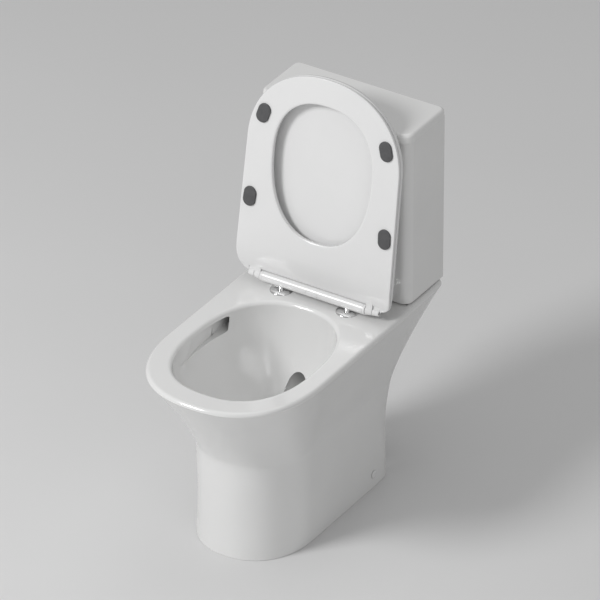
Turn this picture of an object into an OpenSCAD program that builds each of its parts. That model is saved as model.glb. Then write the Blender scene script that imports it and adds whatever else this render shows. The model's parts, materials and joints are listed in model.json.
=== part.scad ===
/* [Pan] */
// Width across the rim and the deck
pan_w = 362; // [320:1:420]
// Depth from the front of the rim to the back of the deck
pan_d = 672; // [600:1:760]
// Height of the rim and the deck above the floor
rim_h = 419; // [380:1:480]
// Width of the base where it meets the floor
base_w = 242; // [200:1:280]
// How far the base stands back from the front of the rim
toe_setback = 121; // [90:1:150]
// How far the base stops short of the back of the deck
heel_setback = 118; // [60:1:150]
// Length of the rounded front of the base
base_round = 142; // [110:1:170]
// Length of the rounded front of the rim
rim_round = 210; // [170:1:240]
// Height at which the front and sides begin to flare
flare_start = 215; // [150:5:250]
// Height at which the back begins to sweep out to the wall
sweep_start = 130; // [60:5:200]
// How much slimmer the base is half way up its upright part
waist = 3; // [0:0.5:6]
// Thickness of the ceramic walls
wall = 13; // [9:0.5:16]
// Thickness of the rim and the deck
deck_t = 26; // [20:1:34]
// Radius of the outer edge of the rim
rim_edge_r = 8; // [4:0.5:12]

/* [Bowl] */
// Width of the bowl at the rim
bowl_w = 275; // [230:1:285]
// Length of the bowl at the rim
bowl_l = 370; // [330:1:400]
// Width of the flat rim in front of the bowl
rim_front = 55; // [45:1:70]
// Depth from the rim to the top of the sump
bowl_drop = 175; // [150:1:200]
// Depth of the sump below the bowl
sump_d = 88; // [70:1:100]
// Radius of the bowl's upper edge
bowl_edge_r = 8; // [4:0.5:10]
// Height of the two flush slots
slot_h = 34; // [20:1:38]
// Width of the two flush slots
slot_w = 20; // [12:1:24]

/* [Trap and outlet] */
// Bore radius of the trap
trap_r = 28; // [24:1:32]
// Height of the outlet's centre above the floor
outlet_h = 180; // [170:1:200]
// Outer radius of the outlet spigot
outlet_r = 51; // [48:0.5:55]
// Length of the plain outlet spigot
spigot_l = 90; // [60:1:110]
// Distance from the spigot's end to the back of the deck
spigot_gap = 22; // [5:1:60]

/* [Cistern] */
// Width of the cistern
cistern_w = 343; // [300:1:390]
// Depth of the cistern
cistern_d = 137; // [120:1:160]
// Height of the cistern
cistern_h = 374; // [300:1:420]
// Thickness of the cistern walls
cistern_wall = 10; // [7:0.5:13]
// Radius of the two front corners of the cistern
cistern_r = 20; // [10:1:30]
// Thickness of the pads between the deck and the cistern
pad_t = 2; // [1:0.5:4]
// Thickness of the lid
lid_t = 20; // [16:1:30]
// How far the lid overhangs the cistern's sides
lid_side = 4; // [2:0.5:6]
// How far the lid overhangs the cistern's front
lid_front = 5.5; // [3:0.5:8]
// Radius of the lid's upper edge
lid_edge_r = 8; // [4:0.5:8]
// Spacing of the two coupling bolts
coupling_spacing = 150; // [140:1:170]

/* [Seat and cover] */
// Spacing of the two hinge fixings
hinge_spacing = 155; // [130:1:180]
// Distance from the back of the deck to the hinge axis
hinge_back = 214.4; // [205:0.5:240]
// Height of the hinge axis above the deck
hinge_rise = 20.4; // [19:0.1:24]
// Length of the hinge bar with its end rings
bar_l = 245.5; // [235:0.5:255]
// Radius of the hinge bar
bar_r = 11.5; // [10.5:0.1:12]
// Width of the seat at its front part
seat_w = 352; // [320:1:380]
// How much wider the seat is at its hinge end
seat_flare = 10; // [0:1:14]
// Length of the rounded front of the seat
seat_round = 168.5; // [140:1:190]
// How far the seat overhangs the front of the rim
seat_over = 3; // [0:0.5:8]
// Width of the seat's opening
opening_w = 229; // [200:1:245]
// Length of the seat's opening
opening_l = 294.5; // [260:1:310]
// Width of the seat in front of its opening
opening_front = 56.5; // [48:0.5:70]
// Thickness of the seat at its outer edge
seat_edge_t = 7; // [5:0.5:9]
// Thickness of the seat round its opening
seat_t = 14; // [11:0.5:14]
// Height of the seat's buffers
buffer_t = 3.7; // [3:0.1:5]
// Height of the cover's top above the hinge axis
cover_rise = 12; // [10:0.5:16]
// Wall thickness of the cover
cover_wall = 4; // [3:0.5:5]
// Radius of the hinge pins
pin_r = 4; // [3:0.1:5]

/* [Flush buttons] */
// Radius of the button opening in the lid
button_hole_r = 22.5; // [20:0.5:26]
// Travel of each flush button
button_travel = 6; // [4:0.5:7]

/* [Hidden] */
$fn = 48;
eps = 0.01;

// Key places along the depth, with the middle of the whole depth at zero
back_y = pan_d / 2;
front_y = -pan_d / 2;
toe_y = front_y + toe_setback;
heel_y = back_y - heel_setback;
bowl_y = front_y + rim_front + bowl_l * 0.475;
hinge_y = back_y - hinge_back;
hinge_z = rim_h + hinge_rise;
cistern_back_y = back_y - 1;
cistern_front_y = cistern_back_y - cistern_d;
lid_front_y = cistern_front_y - lid_front;
valve_y = (lid_front_y + cistern_back_y) / 2;
cistern_z = rim_h + pad_t;
floor_t = cistern_wall + 2;
inside_z = cistern_z + floor_t;
lid_z = cistern_z + cistern_h;
top_z = lid_z + lid_t;
under_deck_z = rim_h - deck_t;

// The raised cover leans on the rounded front edge of the lid
lean_gap = 0.4;
lean_dy = lid_front_y + lid_edge_r - hinge_y;
lean_dz = top_z - lid_edge_r - hinge_z;
lean_reach = cover_rise + lid_edge_r + lean_gap;
lean = acos(lean_reach / norm([lean_dy, lean_dz])) - atan2(lean_dz, lean_dy);

// Shape exponents of the outlines
base_n = 2.2;
rim_n = 2.34;
back_n = 20;
bowl_n = 2.42;
seat_n = 2.15;
opening_n = 2.32;
flare_n = 1.25;
sweep_n = 1.75;

// Points round a ring: the front half and the back half
front_steps = 28;
back_steps = 16;
ring_n = front_steps + back_steps;

function sgn(v) = v < 0 ? -1 : 1;
function mix(a, b, k) = a + (b - a) * k;
function clamp01(v) = min(1, max(0, v));
// A point of a superellipse with half sizes a and b and exponent n
function oval_pt(t, a, b, n) = [
    a * sgn(cos(t)) * pow(abs(cos(t)), 2 / n),
    b * sgn(sin(t)) * pow(abs(sin(t)), 2 / n)];
// A closed outline: a rounded front and a back of its own size and squareness
function outline(w, yf, yc, yb, nf, nb) = concat(
    [for (i = [0 : front_steps - 1])
        let (p = oval_pt(180 + 180 * i / front_steps, w, yc - yf, nf)) [p[0], yc + p[1]]],
    [for (i = [0 : back_steps - 1])
        let (p = oval_pt(180 * i / back_steps, w, yb - yc, nb)) [p[0], yc + p[1]]]);
function at_height(ring, z) = [for (p = ring) [p[0], p[1], z]];

// A closed solid through a stack of rings, capped at both ends
module ring_stack(rings) {
    n = len(rings[0]);
    m = len(rings);
    pts = [for (r = rings) each r];
    sides = [for (j = [0 : m - 2], i = [0 : n - 1])
        let (a = j * n + i, b = j * n + (i + 1) % n)
        each [[a, b + n, b], [a, a + n, b + n]]];
    caps = [[for (i = [0 : n - 1]) i], [for (i = [n - 1 : -1 : 0]) (m - 1) * n + i]];
    polyhedron(points = pts, faces = concat(sides, caps), convexity = 10);
}

// A closed solid round an opening, through rings that come back to the first
module ring_loop(rings) {
    n = len(rings[0]);
    m = len(rings);
    pts = [for (r = rings) each r];
    sides = [for (j = [0 : m - 1], i = [0 : n - 1])
        let (k = (j + 1) % m, a = j * n + i, b = j * n + (i + 1) % n,
             c = k * n + i, d = k * n + (i + 1) % n)
        each [[a, d, b], [a, c, d]]];
    polyhedron(points = pts, faces = sides, convexity = 10);
}

module both_sides() {
    children();
    mirror([1, 0, 0]) children();
}

// ---- Pan ----

function flare(z) = pow(clamp01((z - flare_start) / (rim_h - rim_edge_r - flare_start)), flare_n);
function sweep(z) = pow(clamp01((z - sweep_start) / (rim_h - rim_edge_r - sweep_start)), sweep_n);
function slim(z) = waist * sin(180 * clamp01(z / flare_start));
function pan_ring(z, inset) = let (g = flare(z)) at_height(outline(
    mix(base_w, pan_w, g) / 2 - slim(z) - inset,
    mix(toe_y, front_y, g) + slim(z) + inset,
    mix(toe_y + base_round, front_y + rim_round, g),
    mix(heel_y, back_y, sweep(z)) - inset,
    mix(base_n, rim_n, g), back_n), z);
function edge_ring(a) = [for (p = pan_ring(rim_h, rim_edge_r * (1 - cos(a))))
    [p[0], p[1], rim_h - rim_edge_r * (1 - sin(a))]];

// The bowl narrows along a quarter turn of about 55 degrees, then drops as a sump
bowl_end = 55;
bowl_shift = 80;
function bowl_ring(a, z, grow) = let (
        kw = pow(cos(a), 1.3), kf = pow(cos(a), 1.8), kb = cos(a),
        yc = bowl_y + bowl_shift * (1 - kw))
    at_height(outline(bowl_w / 2 * kw + grow, yc - bowl_l * 0.475 * kf - grow, yc,
        yc + bowl_l * 0.525 * kb + grow, bowl_n, bowl_n), z);
function bowl_z(a) = rim_h - bowl_edge_r - bowl_drop * sin(a) / sin(bowl_end);
sump_z = rim_h - bowl_edge_r - bowl_drop - sump_d;
sump_y = bowl_y + bowl_shift * 0.55;
function sump_ring(k, z, grow) = at_height(outline(
    mix(60, 42, k) + grow, mix(sump_y - 62, sump_y - 20, k) - grow, sump_y + 10,
    mix(sump_y + 100, sump_y + 82, k) + grow, bowl_n, bowl_n), z);

module pan_block() {
    upright = [for (k = [0, 0.35, 0.7]) flare_start * k];
    flared = [for (i = [0 : 7]) mix(flare_start, rim_h - rim_edge_r, i / 7)];
    inner = [for (i = [6 : -1 : 0]) mix(0, under_deck_z, i / 6)];
    under = [for (a = [bowl_end : -9 : 10]) bowl_ring(a, bowl_z(a) - 6, wall - 1)];
    ring_stack(concat(
        [sump_ring(1, sump_z - wall, 0), sump_ring(1, sump_z + 4, wall - 1),
            sump_ring(0.3, sump_z + sump_d * 0.6, wall - 1)],
        under,
        [bowl_ring(8, under_deck_z, wall - 1)],
        [for (z = inner) pan_ring(z, wall)],
        [for (z = upright) pan_ring(z, 0)],
        [for (z = flared) pan_ring(z, 0)],
        [for (a = [35, 65, 90]) edge_ring(a)]));
}

module bowl_cavity() {
    r = bowl_edge_r;
    ring_stack(concat(
        [sump_ring(1, sump_z, -14), sump_ring(1, sump_z + 12, 0),
            sump_ring(0.3, sump_z + sump_d * 0.6, 0)],
        [for (a = [bowl_end : -9 : 1]) bowl_ring(a, bowl_z(a), 0)],
        [bowl_ring(0, rim_h - r * 0.3, r * 0.3), bowl_ring(0, rim_h, r),
            bowl_ring(0, rim_h + 3, r)]));
}

// The trap rises from the sump over a weir and falls to the outlet
spigot_end_y = back_y - spigot_gap;
trap_in = [sump_y + 40, sump_z + 31];
trap_crest = [sump_y + 178, rim_h - 153];
trap_out = [spigot_end_y - spigot_l - 9, outlet_h];
function bezier(p, t) = let (u = 1 - t)
    u * u * u * p[0] + 3 * u * u * t * p[1] + 3 * u * t * t * p[2] + t * t * t * p[3];
function bezier_turn(p, t) = let (u = 1 - t,
        d = u * u * (p[1] - p[0]) + 2 * u * t * (p[2] - p[1]) + t * t * (p[3] - p[2]))
    atan2(d[1], d[0]);
rise = [trap_in, trap_in + [75, 0], trap_crest - [62, 0], trap_crest];
fall = [trap_crest, trap_crest + [58, 0], trap_out - [58, 0], trap_out];
function tube_ring(c, turn, r) = [for (t = [7.5 : 15 : 353])
    [r * cos(t), c[0] + r * sin(t) * sin(turn), c[1] - r * sin(t) * cos(turn)]];
module trap_path(r, end_r, from, shoulder) {
    ring_stack(concat(
        [for (k = [from : 0.2 : 0.99]) tube_ring(bezier(rise, k), bezier_turn(rise, k), r)],
        [for (k = [0 : 0.2 : 1.01]) tube_ring(bezier(fall, k), bezier_turn(fall, k), r)],
        [tube_ring([spigot_end_y - spigot_l + 3 + shoulder, outlet_h], 0, r)]));
    translate([0, spigot_end_y - spigot_l + shoulder, outlet_h]) rotate([-90, 0, 0])
        cylinder(r = end_r, h = spigot_l - shoulder + (shoulder > 0 ? 1 : 0));
}

// Two water channels run under the deck from the inlet to the flush slots
channel_bend = [pan_w / 2 - 53, valve_y - 106];
channel_end = [bowl_w / 2 - 4.5, bowl_y + 96];
slot_y = channel_end[1] - 12;
slot_z = rim_h - 12 - slot_h;
module channel_leg(a, b, w) {
    u = (b - a) / norm(b - a) * w;
    s = [-u[1], u[0]];
    polygon([a + s, b + s, b - s, a - s]);
}
module channel_plan(w) {
    both_sides() {
        channel_leg([0, valve_y], channel_bend, w);
        channel_leg(channel_bend, channel_end, w);
        translate(channel_bend) circle(r = w);
    }
    translate([0, valve_y]) circle(r = inlet_r + w / 2);
}

inlet_r = 30;
recess_r = 48;
recess_d = 17;
hinge_hole_r = 7;
coupling_hole_r = 7;
tail_x = -coupling_spacing / 2 - 33;
tail_y = valve_y + 6;
side_hole_y = heel_y - 62;
side_hole_z = 30.5;
side_hole_r = 4.2;

// The back is open for the soil pipe, and wider above for the fill valve's tail
module open_back() {
    wide = base_w / 2 + 1;
    translate([-base_w / 2 + 26, heel_y - wall - 12, -1])
        cube([base_w - 52, heel_setback + wall + 20, rim_h - 58]);
    translate([-wide, tail_y - 20, sweep_start + 132])
        cube([2 * wide, back_y - tail_y + 30, rim_h - 59 - sweep_start - 132]);
}

module pan() {
    groove = bowl_w / 2;
    color("white") difference() {
        union() {
            difference() {
                pan_block();
                open_back();
            }
            trap_path(trap_r + wall - 2, outlet_r, 0.4, 0);
            translate([0, 0, slot_z - wall])
                linear_extrude(under_deck_z + 2 - slot_z + wall) channel_plan(22);
        }
        bowl_cavity();
        trap_path(trap_r, outlet_r - 9, 0, 8);
        // Water channels, slots and the grooves that lead the flush forward
        translate([0, 0, slot_z + 2]) linear_extrude(slot_h - 10) channel_plan(slot_w / 2);
        both_sides() {
            translate([channel_end[0] - slot_w / 2, slot_y, slot_z])
                cube([slot_w, 34, slot_h]);
            translate([0, 0, slot_z]) linear_extrude(slot_h)
                polygon([[groove - 20, slot_y + 3], [groove + 5.5, slot_y + 3],
                    [groove + 3.5, slot_y - 68], [groove - 8, slot_y - 152],
                    [groove - 20, slot_y - 130]]);
        }
        // Water inlet with the recess for the coupling seal
        translate([0, valve_y, rim_h - recess_d]) cylinder(r = recess_r, h = recess_d + 1);
        translate([0, valve_y, rim_h - 40]) cylinder(r = inlet_r, h = 40);
        // Bolt holes and the hole for the fill valve's tail
        both_sides() {
            translate([hinge_spacing / 2, hinge_y, rim_h - 60])
                cylinder(r = hinge_hole_r, h = 61);
            translate([coupling_spacing / 2, valve_y, rim_h - 60])
                cylinder(r = coupling_hole_r, h = 61);
            translate([base_w / 2 - wall - 8, side_hole_y, side_hole_z])
                rotate([0, 90, 0]) cylinder(r = side_hole_r, h = wall + 10);
        }
        translate([tail_x, tail_y, rim_h - 60]) cylinder(r = 16, h = 61);
    }
}

module floor_brackets() {
    l = 38;
    h = side_hole_z + 14;
    x1 = base_w / 2 - wall - slim(h) - 0.6;
    color("dimgray") both_sides() difference() {
        union() {
            translate([x1 - 34, side_hole_y - l / 2, 0]) cube([34, l, 6]);
            translate([x1 - 9, side_hole_y - l / 2, 0]) cube([9, l, h]);
        }
        translate([x1 - 22, side_hole_y, -1]) cylinder(r = 3.5, h = 8);
        translate([x1 - 10, side_hole_y, side_hole_z]) rotate([0, 90, 0])
            cylinder(r = 2.5, h = 11);
    }
}

cap_r = 8.5;
side_x = base_w / 2 - slim(flare_start * 0.35) * (side_hole_z - cap_r) / (flare_start * 0.35);
module side_screws() {
    color("silver") both_sides() translate([0, side_hole_y, side_hole_z]) rotate([0, 90, 0]) {
        translate([0, 0, side_x - 29]) cylinder(r = 2.45, h = 24);
        translate([0, 0, side_x - 5.5]) cylinder(r1 = 2.45, r2 = 4, h = 2.5);
    }
}

module side_screw_caps() {
    color("white") both_sides() translate([side_x + 0.1, side_hole_y, side_hole_z])
        rotate([0, 90, 0]) {
            cylinder(r = cap_r, h = 1);
            translate([0, 0, 1]) cylinder(r1 = cap_r, r2 = cap_r - 2, h = 1.2);
            translate([0, 0, -2.4]) cylinder(r = 3.9, h = 2.5);
        }
}

// ---- Cistern ----

module tank_plan(w, y0, y1, rf, rb) {
    hull() both_sides() {
        translate([w / 2 - rf, y0 + rf]) circle(r = rf);
        translate([w / 2 - rb, y1 - rb]) circle(r = rb);
    }
}

module cistern() {
    t = cistern_wall;
    color("white") difference() {
        translate([0, 0, cistern_z]) linear_extrude(cistern_h)
            tank_plan(cistern_w, cistern_front_y, cistern_back_y, cistern_r, 4);
        translate([0, 0, inside_z]) linear_extrude(cistern_h)
            tank_plan(cistern_w - 2 * t, cistern_front_y + t, cistern_back_y - t,
                cistern_r - t + 2, 6);
        translate([0, valve_y, cistern_z - 1]) cylinder(r = inlet_r + 2, h = floor_t + 2);
        both_sides() translate([coupling_spacing / 2, valve_y, cistern_z - 1])
            cylinder(r = 5.5, h = floor_t + 2);
        translate([tail_x, tail_y, cistern_z - 1]) cylinder(r = 11.5, h = floor_t + 2);
    }
}

lid_inside_t = 8;
lid_back_r = 16;
module cistern_lid() {
    rf = cistern_r + lid_side;
    rb = lid_back_r;
    e = lid_edge_r;
    t = cistern_wall;
    color("white") difference() {
        union() {
            hull() both_sides() {
                translate([cistern_w / 2 + lid_side - rf, lid_front_y + rf, lid_z])
                    slab_corner(rf, e);
                translate([cistern_w / 2 + lid_side - rb, cistern_back_y - rb, lid_z])
                    slab_corner(rb, e);
            }
            // Locating lip inside the cistern's mouth
            translate([0, 0, lid_z - 6]) linear_extrude(7)
                tank_plan(cistern_w - 2 * t - 4, cistern_front_y + t + 2,
                    cistern_back_y - t - 2, cistern_r - t, 5);
        }
        translate([0, 0, lid_z - 7]) linear_extrude(lid_t - lid_inside_t + 7)
            tank_plan(cistern_w - 2 * t - 14, cistern_front_y + t + 7,
                cistern_back_y - t - 7, 6, 4);
        translate([0, valve_y, lid_z]) cylinder(r = button_hole_r, h = lid_t + 1);
    }
}
// A corner post of the lid with a rounded upper edge
module slab_corner(r, e) {
    rotate_extrude($fn = 32) polygon(concat(
        [[0, 0], [r - 0.8, 0], [r, 0.8]],
        [for (a = [0 : 15 : 90]) [r - e + e * cos(a), lid_t - e + e * sin(a)]],
        [[0, lid_t]]));
}

module cistern_pads() {
    x0 = recess_r + 8;
    color("dimgray") both_sides() difference() {
        translate([x0, cistern_front_y + 7, rim_h])
            cube([cistern_w / 2 - 7 - x0, cistern_d - 14, pad_t]);
        translate([coupling_spacing / 2, valve_y, rim_h - 1])
            cylinder(r = coupling_hole_r, h = pad_t + 2);
        translate([-tail_x, tail_y, rim_h - 1]) cylinder(r = 16, h = pad_t + 2);
    }
}

nut_r = 41;
module coupling_seal() {
    color("dimgray") translate([0, valve_y, rim_h - recess_d]) difference() {
        cylinder(r = recess_r - 0.5, h = recess_d + pad_t);
        translate([0, 0, -1]) cylinder(r = nut_r + 0.3, h = recess_d + pad_t + 2);
    }
}

cone_t = 6;
plate_t = 2;
module at_coupling_bolts(z) {
    both_sides() translate([coupling_spacing / 2, valve_y, z]) children();
}
module coupling_bolts() {
    color("silver") at_coupling_bolts(inside_z + cone_t + plate_t) {
        cylinder(r = 7.5, h = 5.3, $fn = 6);
        translate([0, 0, -cone_t - plate_t - floor_t - pad_t - deck_t - 24])
            cylinder(r = 4, h = cone_t + plate_t + floor_t + pad_t + deck_t + 24);
    }
}
module bolt_cone_washers() {
    color("dimgray") at_coupling_bolts(inside_z) difference() {
        cylinder(r1 = 12, r2 = 14, h = cone_t);
        translate([0, 0, -1]) cylinder(r = 4.1, h = cone_t + 2);
    }
}
module bolt_plate_washers() {
    color("silver") at_coupling_bolts(inside_z + cone_t) difference() {
        cylinder(r = 13, h = plate_t);
        translate([0, 0, -1]) cylinder(r = 4.1, h = plate_t + 2);
    }
}
module bolt_lower_washers() {
    color("dimgray") at_coupling_bolts(under_deck_z - 3) difference() {
        cylinder(r = 14, h = 3);
        translate([0, 0, -1]) cylinder(r = 4.1, h = 5);
    }
}
module wing_nut() {
    difference() {
        union() {
            cylinder(r = 8, h = 8);
            for (s = [-1, 1]) translate([s * 11, 0, 4]) cube([10, 3, 8], center = true);
        }
        translate([0, 0, -1]) cylinder(r = 4.05, h = 10);
    }
}
module wing_nuts() {
    color("silver") at_coupling_bolts(under_deck_z - 11) wing_nut();
}

// ---- Flush valve ----

tail_out_r = 28;
valve_z = inside_z + 3;
seat_ring_z = valve_z + 12;
module flush_valve_base() {
    drop = floor_t + pad_t + recess_d - 3;
    color("lightblue") translate([0, valve_y, valve_z]) difference() {
        union() {
            cylinder(r = 42, h = 5);
            cylinder(r = 30, h = 12);
            translate([0, 0, -3 - drop]) cylinder(r = tail_out_r, h = drop + 4);
        }
        translate([0, 0, -4 - drop]) cylinder(r = 24, h = drop + 20);
    }
}
module flush_valve_washer() {
    color("dimgray") translate([0, valve_y, inside_z]) difference() {
        cylinder(r = 40, h = 3);
        translate([0, 0, -1]) cylinder(r = tail_out_r + 0.3, h = 5);
    }
}
module flush_valve_backnut() {
    color("white") translate([0, valve_y, cistern_z - 11]) difference() {
        cylinder(r = nut_r, h = 11);
        translate([0, 0, -1]) cylinder(r = tail_out_r + 0.05, h = 13);
    }
}
tower_h = 150;
rocker_z = seat_ring_z + tower_h + 30;
pivot_x = 8;
rocker_dy = 20;
module flush_valve_tower() {
    z0 = valve_z + 5;
    top = seat_ring_z + tower_h;
    color("lightblue") translate([0, valve_y, 0]) {
        difference() {
            translate([0, 0, z0]) cylinder(r = 38, h = top - z0);
            translate([0, 0, z0 - 1]) cylinder(r = 34, h = top - z0 - 3);
            translate([0, 0, z0]) cylinder(r = 13, h = top);
            for (a = [45, 135]) rotate([0, 0, a])
                translate([-40, -20, z0 + 9]) cube([80, 40, tower_h - 60]);
        }
        // Two ears carry the rocker
        for (y = [rocker_dy - 8.5, rocker_dy + 4.5]) difference() {
            translate([pivot_x - 5, y, top - eps]) cube([10, 4, rocker_z - top + 5]);
            translate([pivot_x, y - 1, rocker_z]) rotate([-90, 0, 0]) cylinder(r = 1.6, h = 6);
        }
    }
}
stem_top_z = rocker_z + 32;
module flush_valve_stem() {
    color("white") translate([0, valve_y, 0]) difference() {
        union() {
            translate([0, 0, seat_ring_z + 3]) cylinder(r = 11, h = stem_top_z - seat_ring_z - 3);
            translate([0, 0, seat_ring_z + 3]) cylinder(r = 27, h = 3);
            // The collar that the rocker lifts
            difference() {
                translate([0, 0, rocker_z + 2.7]) cylinder(r = 27, h = 2.5);
                translate([0, -30, rocker_z]) cube([30, 60, 10]);
            }
        }
        translate([0, 0, seat_ring_z + 2]) cylinder(r = 8.5, h = stem_top_z);
    }
}
module flush_seal() {
    color("dimgray") translate([0, valve_y, seat_ring_z]) difference() {
        cylinder(r = 29, h = 3);
        translate([0, 0, -1]) cylinder(r = 14, h = 5);
    }
}
module flush_rocker() {
    color("lightblue") translate([pivot_x, valve_y + rocker_dy, rocker_z]) {
        rotate([90, 0, 0]) cylinder(r = 1.5, h = 16, center = true);
        rotate([90, 0, 0]) cylinder(r = 3.2, h = 8, center = true);
        translate([-27, -3, -1.5]) cube([43, 6, 3]);
    }
}

// ---- Fill valve ----

fill_z = inside_z + 3;
fill_head_z = fill_z + 258;
float_z = fill_head_z - 98;
module at_fill(z) {
    translate([tail_x, tail_y, z]) children();
}
tail_r = 10.4;
tail_end = 28;
tail_l = floor_t + pad_t + deck_t + 3 + tail_end;
module fill_valve_body() {
    color("white") at_fill(fill_z) difference() {
        union() {
            cylinder(r = 17, h = 5);
            cylinder(r = 9, h = fill_head_z - fill_z);
            translate([0, 0, -tail_l + tail_end]) cylinder(r = tail_r - 0.2, h = tail_l - tail_end + 1);
            translate([0, 0, -tail_l]) cylinder(r = tail_r, h = tail_end);
        }
        translate([0, 0, -tail_l - 1]) cylinder(r = 6, h = fill_head_z - fill_z + tail_l + 2);
    }
}
module fill_valve_washer() {
    color("dimgray") at_fill(inside_z) difference() {
        cylinder(r = 16.5, h = 3);
        translate([0, 0, -1]) cylinder(r = tail_r + 0.2, h = 5);
    }
}
module fill_valve_backnut() {
    color("white") at_fill(cistern_z - 9) difference() {
        cylinder(r = 15, h = 9, $fn = 6);
        translate([0, 0, -1]) cylinder(r = tail_r + 0.05, h = 11);
    }
}
module fill_valve_head() {
    color("white") at_fill(fill_head_z) {
        cylinder(r = 19, h = 26);
        translate([-9, -6.5, 26 - eps]) cube([7, 3, 10]);
        translate([-9, 3.5, 26 - eps]) cube([7, 3, 10]);
    }
}
link_x = 27;
module fill_float() {
    color("lightblue") at_fill(float_z) difference() {
        union() {
            cylinder(r = 23, h = 52);
            translate([18, -4, 44]) cube([link_x - 14, 8, 8]);
        }
        translate([0, 0, -1]) cylinder(r = 9.6, h = 60);
    }
}
module float_link() {
    color("silver") at_fill(float_z + 52) translate([link_x, 0, 0])
        cylinder(r = 1.6, h = fill_head_z + 28 - float_z - 52);
}
module float_arm() {
    color("lightblue") at_fill(fill_head_z + 31) translate([-5.5, 0, 0]) {
        rotate([90, 0, 0]) cylinder(r = 2, h = 6.6, center = true);
        translate([-1, -3, -1.8]) cube([link_x + 9, 6, 3.6]);
    }
}

// ---- Flush buttons ----

bezel_h = 2;
button_t = 6.5;
button_top_z = top_z + bezel_h + 0.5;
button_r = button_hole_r - 3;
barrel_l = 44;
barrel_floor_z = top_z - barrel_l;
split_x = -4;
full_x = 8;
half_x = -11.5;
module button_bezel() {
    color("silver") translate([0, valve_y, top_z]) difference() {
        cylinder(r1 = button_hole_r + 4, r2 = button_hole_r + 2.8, h = bezel_h);
        translate([0, 0, -1]) cylinder(r = button_r + 0.4, h = bezel_h + 2);
    }
}
module button_barrel() {
    color("white") translate([0, valve_y, barrel_floor_z]) difference() {
        cylinder(r = button_hole_r - 0.3, h = barrel_l);
        translate([0, 0, 3]) cylinder(r = button_r + 0.4, h = barrel_l);
        for (x = [full_x, half_x]) translate([x, 0, -1]) cylinder(r = 3.4, h = 5);
    }
}
module button_nut() {
    color("white") translate([0, valve_y, top_z - lid_inside_t - 8]) difference() {
        cylinder(r = 31, h = 8);
        translate([0, 0, -1]) cylinder(r = button_hole_r - 0.25, h = 10);
    }
}
module button_half(x0, x1) {
    color("gainsboro") intersection() {
        translate([0, valve_y, button_top_z - button_t]) cylinder(r = button_r, h = button_t);
        translate([x0, valve_y - 30, button_top_z - 20]) cube([x1 - x0, 60, 30]);
    }
}
module full_flush_button() {
    button_half(split_x + 0.3, 30);
}
module half_flush_button() {
    button_half(-30, split_x - 0.3);
}
rod_end_z = stem_top_z + 24;
module full_push_rod() {
    dx = 24;
    foot = rocker_z + 2.2;
    color("white") {
        translate([full_x, valve_y, rod_end_z])
            cylinder(r = 3, h = button_top_z - button_t - rod_end_z);
        translate([full_x - 4, valve_y - 3, rod_end_z - 4]) cube([dx - full_x + 8, 6, 4.01]);
        translate([dx - 4, valve_y - 3, rod_end_z - 4]) cube([8, rocker_dy + 6, 4.01]);
        translate([dx - 1.5, valve_y + rocker_dy - 3, foot]) cube([4.5, 6, rod_end_z - foot - 3]);
    }
}
module half_push_rod() {
    color("white") translate([half_x, valve_y, rod_end_z])
        cylinder(r = 3, h = button_top_z - button_t - rod_end_z);
}

// A round wire coil along +Z, closed at both ends
module coil(r, wire, turns, h) {
    steps = turns * 12;
    ring = 6;
    pts = [for (i = [0 : steps], j = [0 : ring - 1])
        let (a = 360 * i / 12, b = 360 * j / ring, q = r + wire * cos(b))
        [q * cos(a), q * sin(a), wire + (h - 2 * wire) * i / steps + wire * sin(b)]];
    sides = [for (i = [0 : steps - 1], j = [0 : ring - 1])
        let (a = i * ring + j, b = i * ring + (j + 1) % ring)
        each [[a, b, b + ring], [a, b + ring, a + ring]]];
    caps = [[for (j = [ring - 1 : -1 : 0]) j], [for (j = [0 : ring - 1]) steps * ring + j]];
    polyhedron(points = pts, faces = concat(sides, caps), convexity = 10);
}
spring_l = button_top_z - button_t - barrel_floor_z - 3;
module full_button_spring() {
    color("silver") translate([full_x, valve_y, barrel_floor_z + 3]) coil(4.6, 0.5, 6, spring_l);
}
module half_button_spring() {
    color("silver") translate([half_x, valve_y, barrel_floor_z + 3]) coil(4.6, 0.5, 6, spring_l);
}

// ---- Hinge ----

disc_r = 23.4;
disc_h = 5;
bolt_r = 4;
module hinge_base() {
    color("silver") translate([hinge_spacing / 2, hinge_y, rim_h]) difference() {
        union() {
            cylinder(r = disc_r, h = 1.5);
            translate([0, 0, 1.5]) cylinder(r1 = disc_r, r2 = disc_r - 3, h = 1.8);
            translate([0, 0, 3.3]) cylinder(r1 = disc_r - 3, r2 = disc_r - 10, h = disc_h - 3.3);
        }
        translate([0, 0, -1]) cylinder(r = bolt_r + 0.05, h = disc_h + 2);
    }
}
module hinge_base_left() {
    mirror([1, 0, 0]) hinge_base();
}
module hinge_base_right() {
    hinge_base();
}
pillar_r = 6;
module hinge_pillars() {
    z1 = hinge_z + 3;
    color("silver") both_sides() translate([hinge_spacing / 2, hinge_y, rim_h + disc_h])
        cylinder(r = pillar_r, h = z1 - rim_h - disc_h);
}
stud_drop = deck_t + 26;
module hinge_bolts() {
    color("silver") both_sides() translate([hinge_spacing / 2, hinge_y, rim_h - stud_drop])
        cylinder(r = bolt_r, h = stud_drop + disc_h);
}
module hinge_washers() {
    color("dimgray") both_sides() translate([hinge_spacing / 2, hinge_y, under_deck_z - 4])
        difference() {
            cylinder(r1 = 10, r2 = 15, h = 4);
            translate([0, 0, -1]) cylinder(r = bolt_r + 0.1, h = 6);
        }
}
module hinge_nuts() {
    color("white") both_sides() translate([hinge_spacing / 2, hinge_y, under_deck_z - 12])
        wing_nut();
}

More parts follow.
